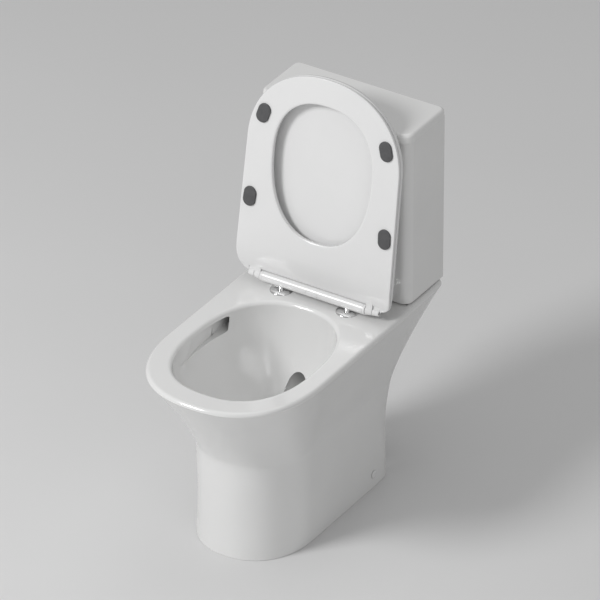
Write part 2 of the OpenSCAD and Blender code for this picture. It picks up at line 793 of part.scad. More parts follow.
ring_w = 5.2;
tube_half = bar_l / 2 - ring_w;
bar_bore_r = bar_r - 2;
release_w = 28;
release_h = 9;
release_travel = 2.5;
module hinge_frame() {
    translate([0, hinge_y, hinge_z]) children();
}
module along_x(x0, x1, r) {
    translate([x0, 0, 0]) rotate([0, 90, 0]) cylinder(r = r, h = x1 - x0);
}
module release_plan(grow) {
    for (s = [-1, 1]) translate([s * (release_w - release_h) / 2, 0])
        circle(r = release_h / 2 + grow);
    square([release_w - release_h, release_h + 2 * grow], center = true);
}
module hinge_bar() {
    color("white") hinge_frame() difference() {
        along_x(-tube_half, tube_half, bar_r);
        along_x(-tube_half - 1, tube_half + 1, bar_bore_r);
        both_sides() translate([hinge_spacing / 2, 0, -bar_r - 2])
            cylinder(r = pillar_r + 0.8, h = bar_r + 2);
        rotate([90, 0, 0]) linear_extrude(bar_r + 2) release_plan(0.35);
    }
}
module hinge_end_rings() {
    color("white") hinge_frame() both_sides() difference() {
        along_x(tube_half, bar_l / 2, bar_r);
        along_x(tube_half - 1, bar_l / 2 + 1, pin_r + 0.02);
    }
}
damper_l = 24;
module damper() {
    color("dimgray") hinge_frame() difference() {
        along_x(tube_half - damper_l, tube_half - 0.2, bar_bore_r - 0.05);
        along_x(tube_half - damper_l + 6, tube_half + 1, pin_r + 0.02);
    }
}
module damper_left() {
    mirror([1, 0, 0]) damper();
}
module damper_right() {
    damper();
}
lug_t = 14;
lug_gap = 0.8;
seat_lug_x = bar_l / 2 + lug_gap;
cover_lug_x = seat_lug_x + lug_t + lug_gap;
module hinge_pin() {
    color("silver") hinge_frame()
        along_x(tube_half - damper_l + 7, cover_lug_x + lug_t - 2, pin_r);
}
module hinge_pin_left() {
    mirror([1, 0, 0]) hinge_pin();
}
module hinge_pin_right() {
    hinge_pin();
}
latch_in = 10;
module release_button() {
    color("white") hinge_frame() {
        translate([0, -bar_r + 7, 0]) rotate([90, 0, 0]) linear_extrude(7.3) release_plan(0);
        translate([-4, -bar_r + 6.9, -3]) cube([8, 2, 6]);
    }
}
module release_spring() {
    l = bar_bore_r + bar_r - 9.3;
    color("silver") hinge_frame() translate([0, -bar_r + 9, 0]) rotate([-90, 0, 0])
        coil(2.4, 0.35, 4, l);
}
latch_gap = 0.6;
module latch() {
    color("dimgray") hinge_frame()
        along_x(latch_in + 8, hinge_spacing / 2 - pillar_r - latch_gap, 5);
}
module latch_left() {
    mirror([1, 0, 0]) latch();
}
module latch_right() {
    latch();
}

// ---- Seat and cover, drawn closed about the hinge axis and then raised ----

module raised() {
    hinge_frame() rotate([-90 - lean, 0, 0]) children();
}
flap_front = front_y - seat_over - hinge_y;
flap_yc = flap_front + seat_round;
flap_back = -2;
under_z = -hinge_rise + buffer_t + 0.4;
arch_l = 50;
arch_h = -under_z - 2;
// How far the underside has risen near the hinge, and the seat's edge there
function arch(y) = arch_h * (1 - cos(90 * clamp01((y + arch_l + 10) / arch_l)));
function seat_edge_z(y) = under_z + seat_edge_t + arch(y) * 0.78;
function flap_ring(inset) = let (w = seat_w / 2 - inset)
    [for (p = outline(w, flap_front + inset, flap_yc, flap_back - inset, seat_n, 16))
        [p[0] * (1 + seat_flare / seat_w * clamp01((p[1] - flap_yc) / (flap_back - flap_yc))),
            p[1]]];
opening_yf = flap_front + opening_front;
opening_yc = opening_yf + opening_l * 0.436;
function opening_ring(grow) = outline(opening_w / 2 + grow, opening_yf - grow, opening_yc,
    opening_yf + opening_l + grow, opening_n, opening_n);
function between(a, b, k) = [for (i = [0 : ring_n - 1]) mix(a[i], b[i], k)];
function seat_under(ring) = [for (p = ring) [p[0], p[1], under_z + arch(p[1])]];
function seat_top(ring, k) = [for (p = ring)
    [p[0], p[1], mix(under_z + seat_t - 1.5 + arch(p[1]) * 0.25, seat_edge_z(p[1]), k * k * k)]];
function lifted(ring, dz) = [for (p = ring) [p[0], p[1], p[2] + dz]];

module hinge_lug(x, r0, r1, reach, z0, z1) {
    translate([x, -reach, z0]) cube([lug_t, reach, z1 - z0]);
    translate([x, 0, 0]) rotate([0, 90, 0]) cylinder(r1 = r0, r2 = r1, h = lug_t);
}
module seat() {
    o = opening_ring(2);
    f = flap_ring(1.5);
    color("white") raised() difference() {
        union() {
            ring_loop(concat(
                [for (k = [0, 0.25, 0.5, 0.75, 1]) seat_under(between(o, f, k))],
                [lifted(seat_under(flap_ring(0)), 1.5)],
                [[for (p = flap_ring(0)) [p[0], p[1], seat_edge_z(p[1]) - 1.2]]],
                [for (k = [1, 0.75, 0.5, 0.2]) seat_top(between(opening_ring(2), f, k), k)],
                [[for (p = opening_ring(4)) [p[0], p[1], under_z + seat_t - 2]]],
                [at_height(opening_ring(0), under_z + seat_t - 5)],
                [at_height(opening_ring(0), under_z + 2)]));
            both_sides() hinge_lug(seat_lug_x, 10.5, 8, 26, -6, 0);
        }
        translate([-seat_lug_x - eps, -bar_r - 2, -40]) cube([2 * seat_lug_x + 2 * eps, 40, 60]);
        both_sides() along_x(seat_lug_x - 1, seat_lug_x + lug_t + 1, pin_r + 0.06);
        // Room for the cover's lugs
        both_sides() translate([cover_lug_x - lug_gap, -14, -20]) cube([lug_t + 2 * lug_gap, 40, 60]);
    }
}
buffer_l = 42;
buffer_w = 28;
buffer_x = [142, 157];
buffer_s = [351.5, 167.8];
module buffer_pad(l, w, h) {
    translate([0, 0, -h]) linear_extrude(h) {
        for (s = [-1, 1]) translate([0, s * (l - w) / 2]) circle(r = w / 2);
        square([w, l - w], center = true);
    }
}
module seat_buffers() {
    reach = -flap_front / 460.4;
    turn = [-16, -4];
    color("dimgray") raised() both_sides() for (i = [0, 1])
        translate([buffer_x[i] * seat_w / 352, -buffer_s[i] * reach, under_z])
            rotate([0, 0, turn[i]]) buffer_pad(buffer_l, buffer_w, buffer_t);
}
cover_top = cover_rise;
function cover_skirt(y) = seat_edge_z(y) + 1.6;
function cover_outer(inset, k) = [for (p = flap_ring(inset))
    [p[0], p[1], mix(cover_skirt(p[1]), cover_top, k)]];
module cover() {
    e = 15;
    t = cover_wall;
    color("white") raised() difference() {
        union() {
            ring_stack(concat(
                [at_height(flap_ring(e + 60), cover_top - t), at_height(flap_ring(e), cover_top - t)],
                [for (a = [70, 35]) [for (p = flap_ring(t + (e - t) * (1 - cos(a))))
                    [p[0], p[1], mix(cover_skirt(p[1]), cover_top - t, sin(a))]]],
                [cover_outer(t, 0), cover_outer(0.6, 0), cover_outer(0, 0.06)],
                [for (a = [20 : 17.5 : 90]) cover_outer(e * (1 - cos(a)), sin(a))],
                [at_height(flap_ring(e + 60), cover_top)]));
            both_sides() hinge_lug(cover_lug_x, 7.8, 6, 13.4, -2, 7);
        }
        translate([-cover_lug_x + lug_gap, -bar_r - 3, -40])
            cube([2 * cover_lug_x - 2 * lug_gap, 40, 60]);
        both_sides() along_x(cover_lug_x - 1, cover_lug_x + lug_t + 1, pin_r + 0.06);
    }
}
module cover_buffers() {
    z0 = under_z + seat_t - 1.1;
    color("gainsboro") raised() both_sides() for (y = [-120, -320])
        translate([opening_w / 2 + 24, y * flap_front / -460.4, z0])
            cylinder(r = 5, h = cover_top - cover_wall - z0);
}

pan();
floor_brackets();
side_screws();
side_screw_caps();
cistern();
cistern_lid();
cistern_pads();
coupling_seal();
coupling_bolts();
bolt_cone_washers();
bolt_plate_washers();
bolt_lower_washers();
wing_nuts();
flush_valve_base();
flush_valve_washer();
flush_valve_backnut();
flush_valve_tower();
flush_valve_stem();
flush_seal();
flush_rocker();
fill_valve_body();
fill_valve_washer();
fill_valve_backnut();
fill_valve_head();
fill_float();
float_link();
float_arm();
button_bezel();
button_barrel();
button_nut();
full_flush_button();
half_flush_button();
full_push_rod();
half_push_rod();
full_button_spring();
half_button_spring();
hinge_base_left();
hinge_base_right();
hinge_pillars();
hinge_bolts();
hinge_washers();
hinge_nuts();
hinge_bar();
hinge_end_rings();
damper_left();
damper_right();
hinge_pin_left();
hinge_pin_right();
release_button();
release_spring();
latch_left();
latch_right();
cover();
cover_buffers();
seat();
seat_buffers();
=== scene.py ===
"""A close coupled toilet: smooth glazed and moulded pieces built round its packed frame."""

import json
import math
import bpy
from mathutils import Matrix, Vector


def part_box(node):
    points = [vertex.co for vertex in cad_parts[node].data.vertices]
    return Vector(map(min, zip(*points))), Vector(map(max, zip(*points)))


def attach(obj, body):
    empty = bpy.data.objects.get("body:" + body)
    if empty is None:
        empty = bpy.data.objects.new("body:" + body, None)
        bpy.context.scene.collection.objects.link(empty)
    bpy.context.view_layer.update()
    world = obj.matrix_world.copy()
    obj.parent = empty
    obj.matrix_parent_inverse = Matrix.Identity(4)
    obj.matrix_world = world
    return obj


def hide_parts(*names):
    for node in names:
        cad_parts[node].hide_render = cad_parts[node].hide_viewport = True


bl_info = {
    "name": "Close coupled toilet",
    "version": (1, 0, 0),
    "blender": (4, 5, 0),
    "location": "3D View > Sidebar > Toilet",
    "description": "Builds the glazed pan, cistern, seat, cover and trim of a close coupled toilet",
    "category": "Object",
}

import bmesh
import bpy
from mathutils import Matrix, Vector

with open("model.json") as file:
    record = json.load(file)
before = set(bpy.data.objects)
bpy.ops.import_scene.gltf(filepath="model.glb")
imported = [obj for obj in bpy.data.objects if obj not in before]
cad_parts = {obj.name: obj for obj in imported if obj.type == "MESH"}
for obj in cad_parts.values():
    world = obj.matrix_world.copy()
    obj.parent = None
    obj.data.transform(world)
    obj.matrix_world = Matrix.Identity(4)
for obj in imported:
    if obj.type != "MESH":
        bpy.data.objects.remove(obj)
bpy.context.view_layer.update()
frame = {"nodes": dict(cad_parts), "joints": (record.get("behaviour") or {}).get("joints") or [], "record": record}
PAN_LO, PAN_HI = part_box("pan")
TANK_LO, TANK_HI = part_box("cistern")
LID_LO, LID_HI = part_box("cistern_lid")
COVER_JOINT = next(j for j in frame["joints"] if j["name"] == "cover_hinge")
HINGE = Vector(COVER_JOINT["pos_m"])
LEAN = COVER_JOINT["range_deg"]
CLOSING_TURN = math.radians(abs(LEAN[0] - LEAN[1]) + 0.003)
ACROSS, ALONG, UP = (1, 0, 0), (0, 1, 0), (0, 0, 1)
ORIGIN = (0, 0, 0)
SMOOTH_ANGLE = 35


# ---- Sizes and finishes that a user would change ----


def length(name, text, default, low=0.0, high=1.0):
    """A size in metres for a property group."""
    return bpy.props.FloatProperty(
        name=name, description=text, default=default, min=low, max=high, unit="LENGTH", precision=4
    )


def colour(name, text, default):
    """A surface colour for a property group."""
    return bpy.props.FloatVectorProperty(
        name=name, description=text, default=default, size=4, min=0, max=1, subtype="COLOR"
    )


def share(name, text, default):
    """A number from 0 to 1 for a property group."""
    return bpy.props.FloatProperty(
        name=name, description=text, default=default, min=0, max=1, subtype="FACTOR"
    )


class ToiletPanSizes(bpy.types.PropertyGroup):
    """Sizes of the ceramic pan."""

    base_w: length("Base width", "Width of the base at the floor", 0.242)
    toe_setback: length("Toe setback", "How far the base stands back from the rim", 0.121)
    heel_setback: length("Heel setback", "How far the base stops short of the deck", 0.118)
    base_round: length("Base rounding", "Length of the base's rounded front", 0.142)
    rim_round: length("Rim rounding", "Length of the rim's rounded front", 0.210)
    flare_start: length("Flare start", "Height at which the sides begin to flare", 0.215)
    sweep_start: length("Sweep start", "Height at which the back begins to sweep out", 0.130)
    waist: length("Waist", "How much slimmer the base is half way up", 0.003)
    wall: length("Wall", "Thickness of the ceramic walls", 0.013)
    deck_t: length("Deck thickness", "Thickness of the rim and deck", 0.026)
    rim_edge_r: length("Rim edge radius", "Rounding of the rim's outer edge", 0.008)
    bowl_w: length("Bowl width", "Width of the bowl at the rim", 0.275)
    bowl_l: length("Bowl length", "Length of the bowl at the rim", 0.370)
    rim_front: length("Front rim", "Width of the flat rim in front of the bowl", 0.055)
    bowl_drop: length("Bowl depth", "Depth from the rim to the sump", 0.175)
    sump_d: length("Sump depth", "Depth of the sump below the bowl", 0.088)
    bowl_edge_r: length("Bowl edge radius", "Rounding of the bowl's upper edge", 0.008)
    slot_h: length("Slot height", "Height of the two flush slots", 0.034)
    slot_w: length("Slot width", "Width of the two flush slots", 0.020)
    trap_r: length("Trap radius", "Bore radius of the trap", 0.028)
    outlet_h: length("Outlet height", "Height of the outlet's centre", 0.180)
    outlet_r: length("Outlet radius", "Outer radius of the outlet spigot", 0.051)
    spigot_l: length("Spigot length", "Length of the plain outlet spigot", 0.090)
    spigot_gap: length("Spigot gap", "Distance from the spigot to the deck's back", 0.022)


class ToiletTankSizes(bpy.types.PropertyGroup):
    """Sizes of the cistern, its lid and its buttons."""

    front_r: length("Front corner radius", "Rounding of the cistern's front corners", 0.020)
    back_r: length("Back corner radius", "Rounding of the cistern's back corners", 0.004)
    foot_r: length("Foot radius", "Rounding of the cistern's lower edge", 0.006)
    wall: length("Wall", "Thickness of the cistern walls", 0.010)
    floor_t: length("Floor", "Thickness of the cistern's floor", 0.012)
    lid_edge_r: length("Lid edge radius", "Rounding of the lid's upper edge", 0.008)
    lid_front_r: length("Lid corner radius", "Rounding of the lid's front corners", 0.024)
    lid_back_r: length("Lid back corner radius", "Rounding of the lid's back corners", 0.016)
    button_hole_r: length("Button opening radius", "Radius of the opening in the lid", 0.0225)


class ToiletSeatSizes(bpy.types.PropertyGroup):
    """Sizes of the seat, the cover and their hinge."""

    seat_w: length("Seat width", "Width of the seat at its front part", 0.352)
    seat_flare: length("Seat flare", "How much wider the seat is at its hinge", 0.010)
    seat_round: length("Seat rounding", "Length of the seat's rounded front", 0.1685)
    seat_over: length("Seat overhang", "How far the seat overhangs the rim", 0.003)
    opening_w: length("Opening width", "Width of the seat's opening", 0.229)
    opening_l: length("Opening length", "Length of the seat's opening", 0.2945)
    opening_front: length("Front width", "Width of the seat in front of its opening", 0.0565)
    seat_edge_t: length("Edge thickness", "Thickness of the seat at its edge", 0.007)
    seat_t: length("Inner thickness", "Thickness of the seat round its opening", 0.014)
    buffer_t: length("Buffer height", "Height of the seat's buffers", 0.0037)
    cover_rise: length("Cover rise", "Height of the cover's top above the hinge", 0.012)
    cover_wall: length("Cover wall", "Wall thickness of the cover", 0.004)
    bar_r: length("Bar radius", "Radius of the hinge bar", 0.0115)
    bar_l: length("Bar length", "Length of the hinge bar with its rings", 0.2455)
    release_w: length("Release width", "Width of the release button", 0.028)
    release_h: length("Release height", "Height of the release button", 0.009)


class ToiletFinishes(bpy.types.PropertyGroup):
    """Colours and glosses of the finishes."""

    glaze: colour("Glaze", "Colour of the ceramic glaze", (0.80, 0.80, 0.795, 1))
    glaze_roughness: share("Glaze roughness", "Roughness under the glaze's coat", 0.16)
    moulding: colour("Seat white", "Colour of the moulded seat and cover", (0.80, 0.80, 0.80, 1))
    moulding_roughness: share("Seat roughness", "Roughness of the seat and cover", 0.24)
    buffer: colour("Buffer grey", "Colour of the seat's buffers", (0.095, 0.095, 0.098, 1))
    rubber: colour("Rubber grey", "Colour of the seals and washers", (0.030, 0.030, 0.032, 1))
    clear: colour("Clear rubber", "Colour of the cover's small buffers", (0.60, 0.60, 0.59, 1))
    chrome: colour("Chrome", "Colour of the polished trim", (0.90, 0.90, 0.90, 1))
    steel: colour("Steel", "Colour of the bolts, pins and springs", (0.50, 0.50, 0.50, 1))
    satin_white: colour("Valve white", "Colour of the white valve mouldings", (0.72, 0.72, 0.70, 1))
    satin_blue: colour("Valve blue", "Colour of the pale blue mouldings", (0.32, 0.48, 0.62, 1))
    satin_grey: colour("Bracket grey", "Colour of the brackets and latches", (0.045, 0.045, 0.048, 1))
    floor: colour("Floor", "Colour of the plain floor", (0.74, 0.74, 0.74, 1))


GROUPS = {
    "toilet_pan": ToiletPanSizes,
    "toilet_tank": ToiletTankSizes,
    "toilet_seat": ToiletSeatSizes,
    "toilet_finish": ToiletFinishes,
}


# ---- Outlines and rings ----

FRONT_STEPS = 84
BACK_STEPS = 48
RING = FRONT_STEPS + BACK_STEPS
BASE_N, RIM_N, BACK_N = 2.2, 2.34, 20
BOWL_N, SEAT_N, OPENING_N = 2.42, 2.15, 2.32
BOWL_END, BOWL_SHIFT = 55, 0.080
BOWL_FRONT, BOWL_BACK = 0.475, 0.525


def mix(a, b, k):
    return a + (b - a) * k


def clamp(v):
    return min(1.0, max(0.0, v))


def steps(a, b, count):
    """Evenly spaced numbers from a to b, both ends included."""
    return [mix(a, b, i / count) for i in range(count + 1)]


def oval(t, a, b, n):
    """A point of a superellipse with half sizes a and b and exponent n."""
    c, s = math.cos(t), math.sin(t)
    return a * math.copysign(abs(c) ** (2 / n), c), b * math.copysign(abs(s) ** (2 / n), s)


def outline(w, front, middle, back, front_n, back_n):
    """A closed outline: a rounded front and a back of its own size and squareness."""
    points = []
    for i in range(FRONT_STEPS):
        x, y = oval(math.pi + math.pi * i / FRONT_STEPS, w, middle - front, front_n)
        points.append((x, middle + y))
    for i in range(BACK_STEPS):
        x, y = oval(math.pi * i / BACK_STEPS, w, back - middle, back_n)
        points.append((x, middle + y))
    return points


def level(points, z):
    return [(p[0], p[1], z) for p in points]


def verts_of(grown):
    return [g for g in grown if isinstance(g, bmesh.types.BMVert)]


def stacked(rings, capped=True, looped=False):
    """A bmesh through a list of rings, each extruded from the last and moved to its points."""
    bm = bmesh.new()
    rings = rings + rings[:1] if looped else rings
    verts = bmesh.ops.create_circle(bm, segments=len(rings[0]), radius=1)["verts"]
    for v, p in zip(verts, rings[0]):
        v.co = p
    edges = list(bm.edges)
    if capped:
        bmesh.ops.contextual_create(bm, geom=edges)
    for ring in rings[1:]:
        grown = bmesh.ops.extrude_edge_only(bm, edges=edges)["geom"]
        fresh = set(verts_of(grown))
        verts = [
            next(e.other_vert(v) for e in v.link_edges if e.other_vert(v) in fresh) for v in verts
        ]
        for v, p in zip(verts, ring):
            v.co = p
        edges = [g for g in grown if isinstance(g, bmesh.types.BMEdge) and set(g.verts) <= fresh]
    if capped:
        bmesh.ops.contextual_create(bm, geom=edges)
    if looped:
        bmesh.ops.remove_doubles(bm, verts=bm.verts, dist=1e-5)
    bmesh.ops.recalc_face_normals(bm, faces=bm.faces)
    return bm


# ---- Making, cutting and finishing pieces ----


def piece(name, bm):
    """An object of that name, with its place in its mesh."""
    bmesh.ops.recalc_face_normals(bm, faces=bm.faces)
    mesh = bpy.data.meshes.new(name)
    bm.to_mesh(mesh)
    bm.free()
    obj = bpy.data.objects.new(name, mesh)
    bpy.context.scene.collection.objects.link(obj)
    shade(obj)
    return obj


def shade(obj):
    obj.data.shade_smooth()
    obj.data.set_sharp_from_angle(angle=math.radians(SMOOTH_ANGLE))


def discard(obj):
    mesh = obj.data
    bpy.data.objects.remove(obj)
    bpy.data.meshes.remove(mesh)


def melted(obj):
    """The shape of a piece as a bmesh again, with the piece gone."""
    bm = bmesh.new()
    bm.from_mesh(obj.data)
    discard(obj)
    return bm


def settled(obj):
    """Applies the modifiers of a piece to its mesh."""
    graph = bpy.context.evaluated_depsgraph_get()
    mesh = bpy.data.meshes.new_from_object(obj.evaluated_get(graph))
    old, obj.data = obj.data, mesh
    obj.modifiers.clear()
    bpy.data.meshes.remove(old)
    mesh.name = obj.name
    return obj


def boolean(obj, bm, operation):
    """Adds a tool mesh to a piece or takes it away."""
    tool = piece("tool", bm)
    modifier = obj.modifiers.new("tool", "BOOLEAN")
    modifier.operation, modifier.solver, modifier.object = operation, "MANIFOLD", tool
    settled(obj)
    discard(tool)
    return obj


def cut(obj, bm):
    return boolean(obj, bm, "DIFFERENCE")


def join(obj, bm):
    return boolean(obj, bm, "UNION")


def even_normals(obj):
    """Lets large flat faces keep their shading next to small rounded ones."""
    shade(obj)
    modifier = obj.modifiers.new("Even normals", "WEIGHTED_NORMAL")
    modifier.mode, modifier.weight, modifier.keep_sharp = "FACE_AREA", 50, True
    return obj


def block(lo, hi):
    """A box between two corners."""
    bm = bmesh.new()
    bmesh.ops.create_cube(bm, size=1)
    lo, hi = Vector(lo), Vector(hi)
    bmesh.ops.scale(bm, vec=hi - lo, verts=bm.verts)
    bmesh.ops.translate(bm, vec=(lo + hi) / 2, verts=bm.verts)
    return bm


def prism(points, z0, z1):
    """An upright prism on a plan."""
    bm = bmesh.new()
    face = bm.faces.new([bm.verts.new((x, y, z0)) for x, y in points])
    grown = bmesh.ops.extrude_face_region(bm, geom=[face])["geom"]
    bmesh.ops.translate(bm, vec=(0, 0, z1 - z0), verts=verts_of(grown))
    bmesh.ops.recalc_face_normals(bm, faces=bm.faces)
    return bm


def turned(profile, axis, centre, segments=72):
    """A solid of revolution: profile is a list of (radius, distance along axis)."""
    bm = bmesh.new()
    edges = []
    verts = [bm.verts.new((r, 0, h)) for r, h in profile]
    for a, b in zip(verts, verts[1:]):
        edges.append(bm.edges.new((a, b)))
    bmesh.ops.spin(
        bm, geom=verts + edges, cent=ORIGIN, axis=UP, angle=2 * math.pi,
        steps=segments, use_merge=True,
    )
    bmesh.ops.remove_doubles(bm, verts=bm.verts, dist=1e-6)
    turn = Vector(UP).rotation_difference(Vector(axis)).to_matrix().to_4x4()
    bmesh.ops.transform(bm, matrix=Matrix.Translation(centre) @ turn, verts=bm.verts)
    bmesh.ops.recalc_face_normals(bm, faces=bm.faces)
    return bm


def rod(r, a, b, axis, centre, edge=0.0, segments=72):
    """A solid rod along an axis, with rounded or sharp ends."""
    ends = [(r, a), (r, b)]
    if edge:
        turn = [math.radians(d) for d in (0, 22.5, 45, 67.5, 90)]
        ends = [(r - edge + edge * math.sin(t), a + edge - edge * math.cos(t)) for t in turn]
        ends += [(r - edge + edge * math.cos(t), b - edge + edge * math.sin(t)) for t in turn]
    return turned([(0, a)] + ends + [(0, b)], axis, centre, segments)


def mirrored(bm):
    """Turns a mesh into its copy on the other side of the middle."""
    bmesh.ops.scale(bm, vec=(-1, 1, 1), verts=bm.verts)
    bmesh.ops.reverse_faces(bm, faces=bm.faces)
    return bm


def as_drawn(bm):
    return bm


BOTH_SIDES = (as_drawn, mirrored)


def sliced(bm, place, away):
    """Takes off what lies beyond a plane and closes the cut."""
    everything = [*bm.verts, *bm.edges, *bm.faces]
    bmesh.ops.bisect_plane(bm, geom=everything, plane_co=place, plane_no=away, clear_outer=True)
    bmesh.ops.holes_fill(bm, edges=bm.edges)


def add_mesh(bm, other):
    """Adds another bmesh's shape to a bmesh."""
    mesh = bpy.data.meshes.new("part")
    other.to_mesh(mesh)
    other.free()
    bm.from_mesh(mesh)
    bpy.data.meshes.remove(mesh)
    return bm


def round_edges(bm, edges, radius, segments):
    bmesh.ops.bevel(
        bm, geom=edges, offset=radius, offset_type="OFFSET", segments=segments, profile=0.5,
        affect="EDGES", clamp_overlap=True, material=-1,
    )


def finish(obj, body, slot, finish_name, *nodes):
    """Puts a piece on its body, with its finish and the nodes that it stands for."""
    obj.data.materials.clear()
    obj.data.materials.append(bpy.data.materials[finish_name])
    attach(obj, body)
    if nodes:
        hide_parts(*nodes)
    return obj


# ---- Finishes ----


def link(tree, a, out, b, into):
    tree.links.new(a.outputs[out], b.inputs[into])


def surface(name, base, roughness, metallic=0.0, coat=0.0, coat_roughness=0.03, ior=1.5):
    """A principled surface with its pattern coordinates, to which the finishes add their detail."""
    material = bpy.data.materials.new(name)
    material.use_nodes = True
    tree = material.node_tree
    shader = tree.nodes["Principled BSDF"]
    shader.inputs["Metallic"].default_value = metallic
    shader.inputs["Coat Weight"].default_value = coat
    shader.inputs["Coat Roughness"].default_value = coat_roughness
    shader.inputs["IOR"].default_value = ior
    shader.inputs["Base Color"].default_value = base
    shader.inputs["Roughness"].default_value = roughness
    place = tree.nodes.new("ShaderNodeTexCoord")
    return tree, shader, place


def noise(tree, place, scale, detail=2.0, stretch=None):
    """A noise pattern on the piece's own coordinates."""
    pattern = tree.nodes.new("ShaderNodeTexNoise")
    pattern.inputs["Scale"].default_value = scale
    pattern.inputs["Detail"].default_value = detail
    if stretch:
        mapping = tree.nodes.new("ShaderNodeMapping")
        mapping.inputs["Scale"].default_value = stretch
        link(tree, place, "Object", mapping, "Vector")
        link(tree, mapping, "Vector", pattern, "Vector")
    else:
        link(tree, place, "Object", pattern, "Vector")
    return pattern


def tint(tree, pattern, shader, base, change):
    """Lets the colour drift slightly with a pattern."""
    ramp = tree.nodes.new("ShaderNodeValToRGB")
    ramp.color_ramp.elements[0].position = 0.3
    ramp.color_ramp.elements[1].position = 0.7
    ramp.color_ramp.elements[0].color = [c * (1 - change) for c in base[:3]] + [1]
    ramp.color_ramp.elements[1].color = list(base[:3]) + [1]
    link(tree, pattern, "Fac", ramp, "Fac")
    link(tree, ramp, "Color", shader, "Base Color")


def vary_roughness(tree, pattern, shader, low, high):
    spread = tree.nodes.new("ShaderNodeMapRange")
    spread.inputs["From Min"].default_value = 0.3
    spread.inputs["From Max"].default_value = 0.7
    spread.inputs["To Min"].default_value = low
    spread.inputs["To Max"].default_value = high
    link(tree, pattern, "Fac", spread, "Value")
    link(tree, spread, "Result", shader, "Roughness")


def relief(tree, patterns, shader):
    """Bumps in series: each is a pattern, a strength and a height in metres."""
    last = None
    for pattern, strength, height in patterns:
        bump = tree.nodes.new("ShaderNodeBump")
        bump.inputs["Strength"].default_value = strength
        bump.inputs["Distance"].default_value = height
        link(tree, pattern, "Fac", bump, "Height")
        if last:
            link(tree, last, "Normal", bump, "Normal")
        last = bump
    link(tree, last, "Normal", shader, "Normal")
    if shader.inputs["Coat Weight"].default_value:
        link(tree, last, "Normal", shader, "Coat Normal")


def white_glaze(look):
    """Fired white glaze: a deep gloss over a body that wavers slightly, as cast ware does."""
    base = look.glaze
    tree, shader, place = surface("white_glaze", base, 0.2, coat=0.6, coat_roughness=0.03, ior=1.52)
    tint(tree, noise(tree, place, 9, 3), shader, base, 0.025)
    gloss = look.glaze_roughness
    vary_roughness(tree, noise(tree, place, 30, 3), shader, gloss * 0.8, gloss * 1.3)
    waver = (noise(tree, place, 5, 1), 0.15, 0.004)
    grain = (noise(tree, place, 260, 2), 0.05, 0.0004)
    relief(tree, [waver, grain], shader)


def seat_white(look):
    """Dense white moulding with a fine, even gloss."""
    base = look.moulding
    tree, shader, place = surface("seat_white", base, 0.25, coat=0.25, coat_roughness=0.08, ior=1.5)
    tint(tree, noise(tree, place, 14, 2), shader, base, 0.015)
    gloss = look.moulding_roughness
    vary_roughness(tree, noise(tree, place, 40, 1), shader, gloss * 0.97, gloss * 1.03)
    relief(tree, [(noise(tree, place, 60, 1), 0.02, 0.0001)], shader)


def rubber(name, base, roughness):
    """Moulded rubber with a fine matt grain."""
    tree, shader, place = surface(name, base, roughness)
    tint(tree, noise(tree, place, 120, 3), shader, base, 0.18)
    vary_roughness(tree, noise(tree, place, 220, 2), shader, roughness * 0.85, roughness * 1.15)
    relief(tree, [(noise(tree, place, 1500, 3), 0.25, 0.0002)], shader)


def polished_chrome(look):
    """Bright plating with the faintest haze from wiping."""
    tree, shader, place = surface("polished_chrome", look.chrome, 0.16, metallic=1.0)
    tint(tree, noise(tree, place, 40, 2), shader, look.chrome, 0.04)
    vary_roughness(tree, noise(tree, place, 90, 4), shader, 0.14, 0.2)
    relief(tree, [(noise(tree, place, 300, 1), 0.03, 0.0002)], shader)


def drawn_steel(look):
    """Plain stainless bar and wire with fine lengthwise drawing marks."""
    tree, shader, place = surface("drawn_steel", look.steel, 0.32, metallic=1.0)
    marks = noise(tree, place, 400, 3, (1, 1, 0.06))
    tint(tree, marks, shader, look.steel, 0.15)
    vary_roughness(tree, marks, shader, 0.24, 0.42)
    relief(tree, [(marks, 0.12, 0.0002)], shader)


def satin_moulding(name, base, roughness=0.42):
    """Satin injection moulding with a spark-eroded grain."""
    tree, shader, place = surface(name, base, roughness)
    tint(tree, noise(tree, place, 50, 2), shader, base, 0.06)
    vary_roughness(tree, noise(tree, place, 180, 2), shader, roughness * 0.85, roughness * 1.15)
    relief(tree, [(noise(tree, place, 1200, 2), 0.12, 0.0002)], shader)


def plain_floor(look):
    """A smooth pale floor."""
    tree, shader, place = surface("plain_floor", look.floor, 0.6)
    tint(tree, noise(tree, place, 0.8, 2), shader, look.floor, 0.02)
    vary_roughness(tree, noise(tree, place, 3, 2), shader, 0.5, 0.65)
    relief(tree, [(noise(tree, place, 40, 2), 0.02, 0.0005)], shader)


def make_finishes(look):
    white_glaze(look)
    seat_white(look)
    rubber("buffer_grey", look.buffer, 0.5)
    rubber("seal_rubber", look.rubber, 0.62)
    rubber("clear_rubber", look.clear, 0.35)
    polished_chrome(look)
    drawn_steel(look)
    satin_moulding("valve_white", look.satin_white)
    satin_moulding("valve_blue", look.satin_blue)
    satin_moulding("bracket_grey", look.satin_grey, 0.5)
    plain_floor(look)


# ---- Pan ----

# The sump's plan at its mouth and at its floor: half width, reach to the front and to the back.
SUMP_HALF_W = (0.060, 0.042)
SUMP_FRONT = (0.062, 0.020)
SUMP_BACK = (0.100, 0.082)
SUMP_MIDDLE = 0.010
# Where the trap leaves the sump and where it crests, from the sump's middle and floor or the rim.
TRAP_IN = (0.040, 0.031)
TRAP_CREST = (0.178, 0.153)
TRAP_START = 0.4
TRAP_SKIN = 0.002
# The flush slots: below the rim, behind the bowl's middle, and their length.
SLOT_DROP, SLOT_BACK, SLOT_L = 0.012, 0.084, 0.110
# The open back: its roof below the rim, its side walls, and the wider room for the valve's tail.
BACK_ROOF, BACK_SIDE = 0.059, 0.026
TAIL_ROOM, TAIL_ROOM_Z = 0.020, 0.262
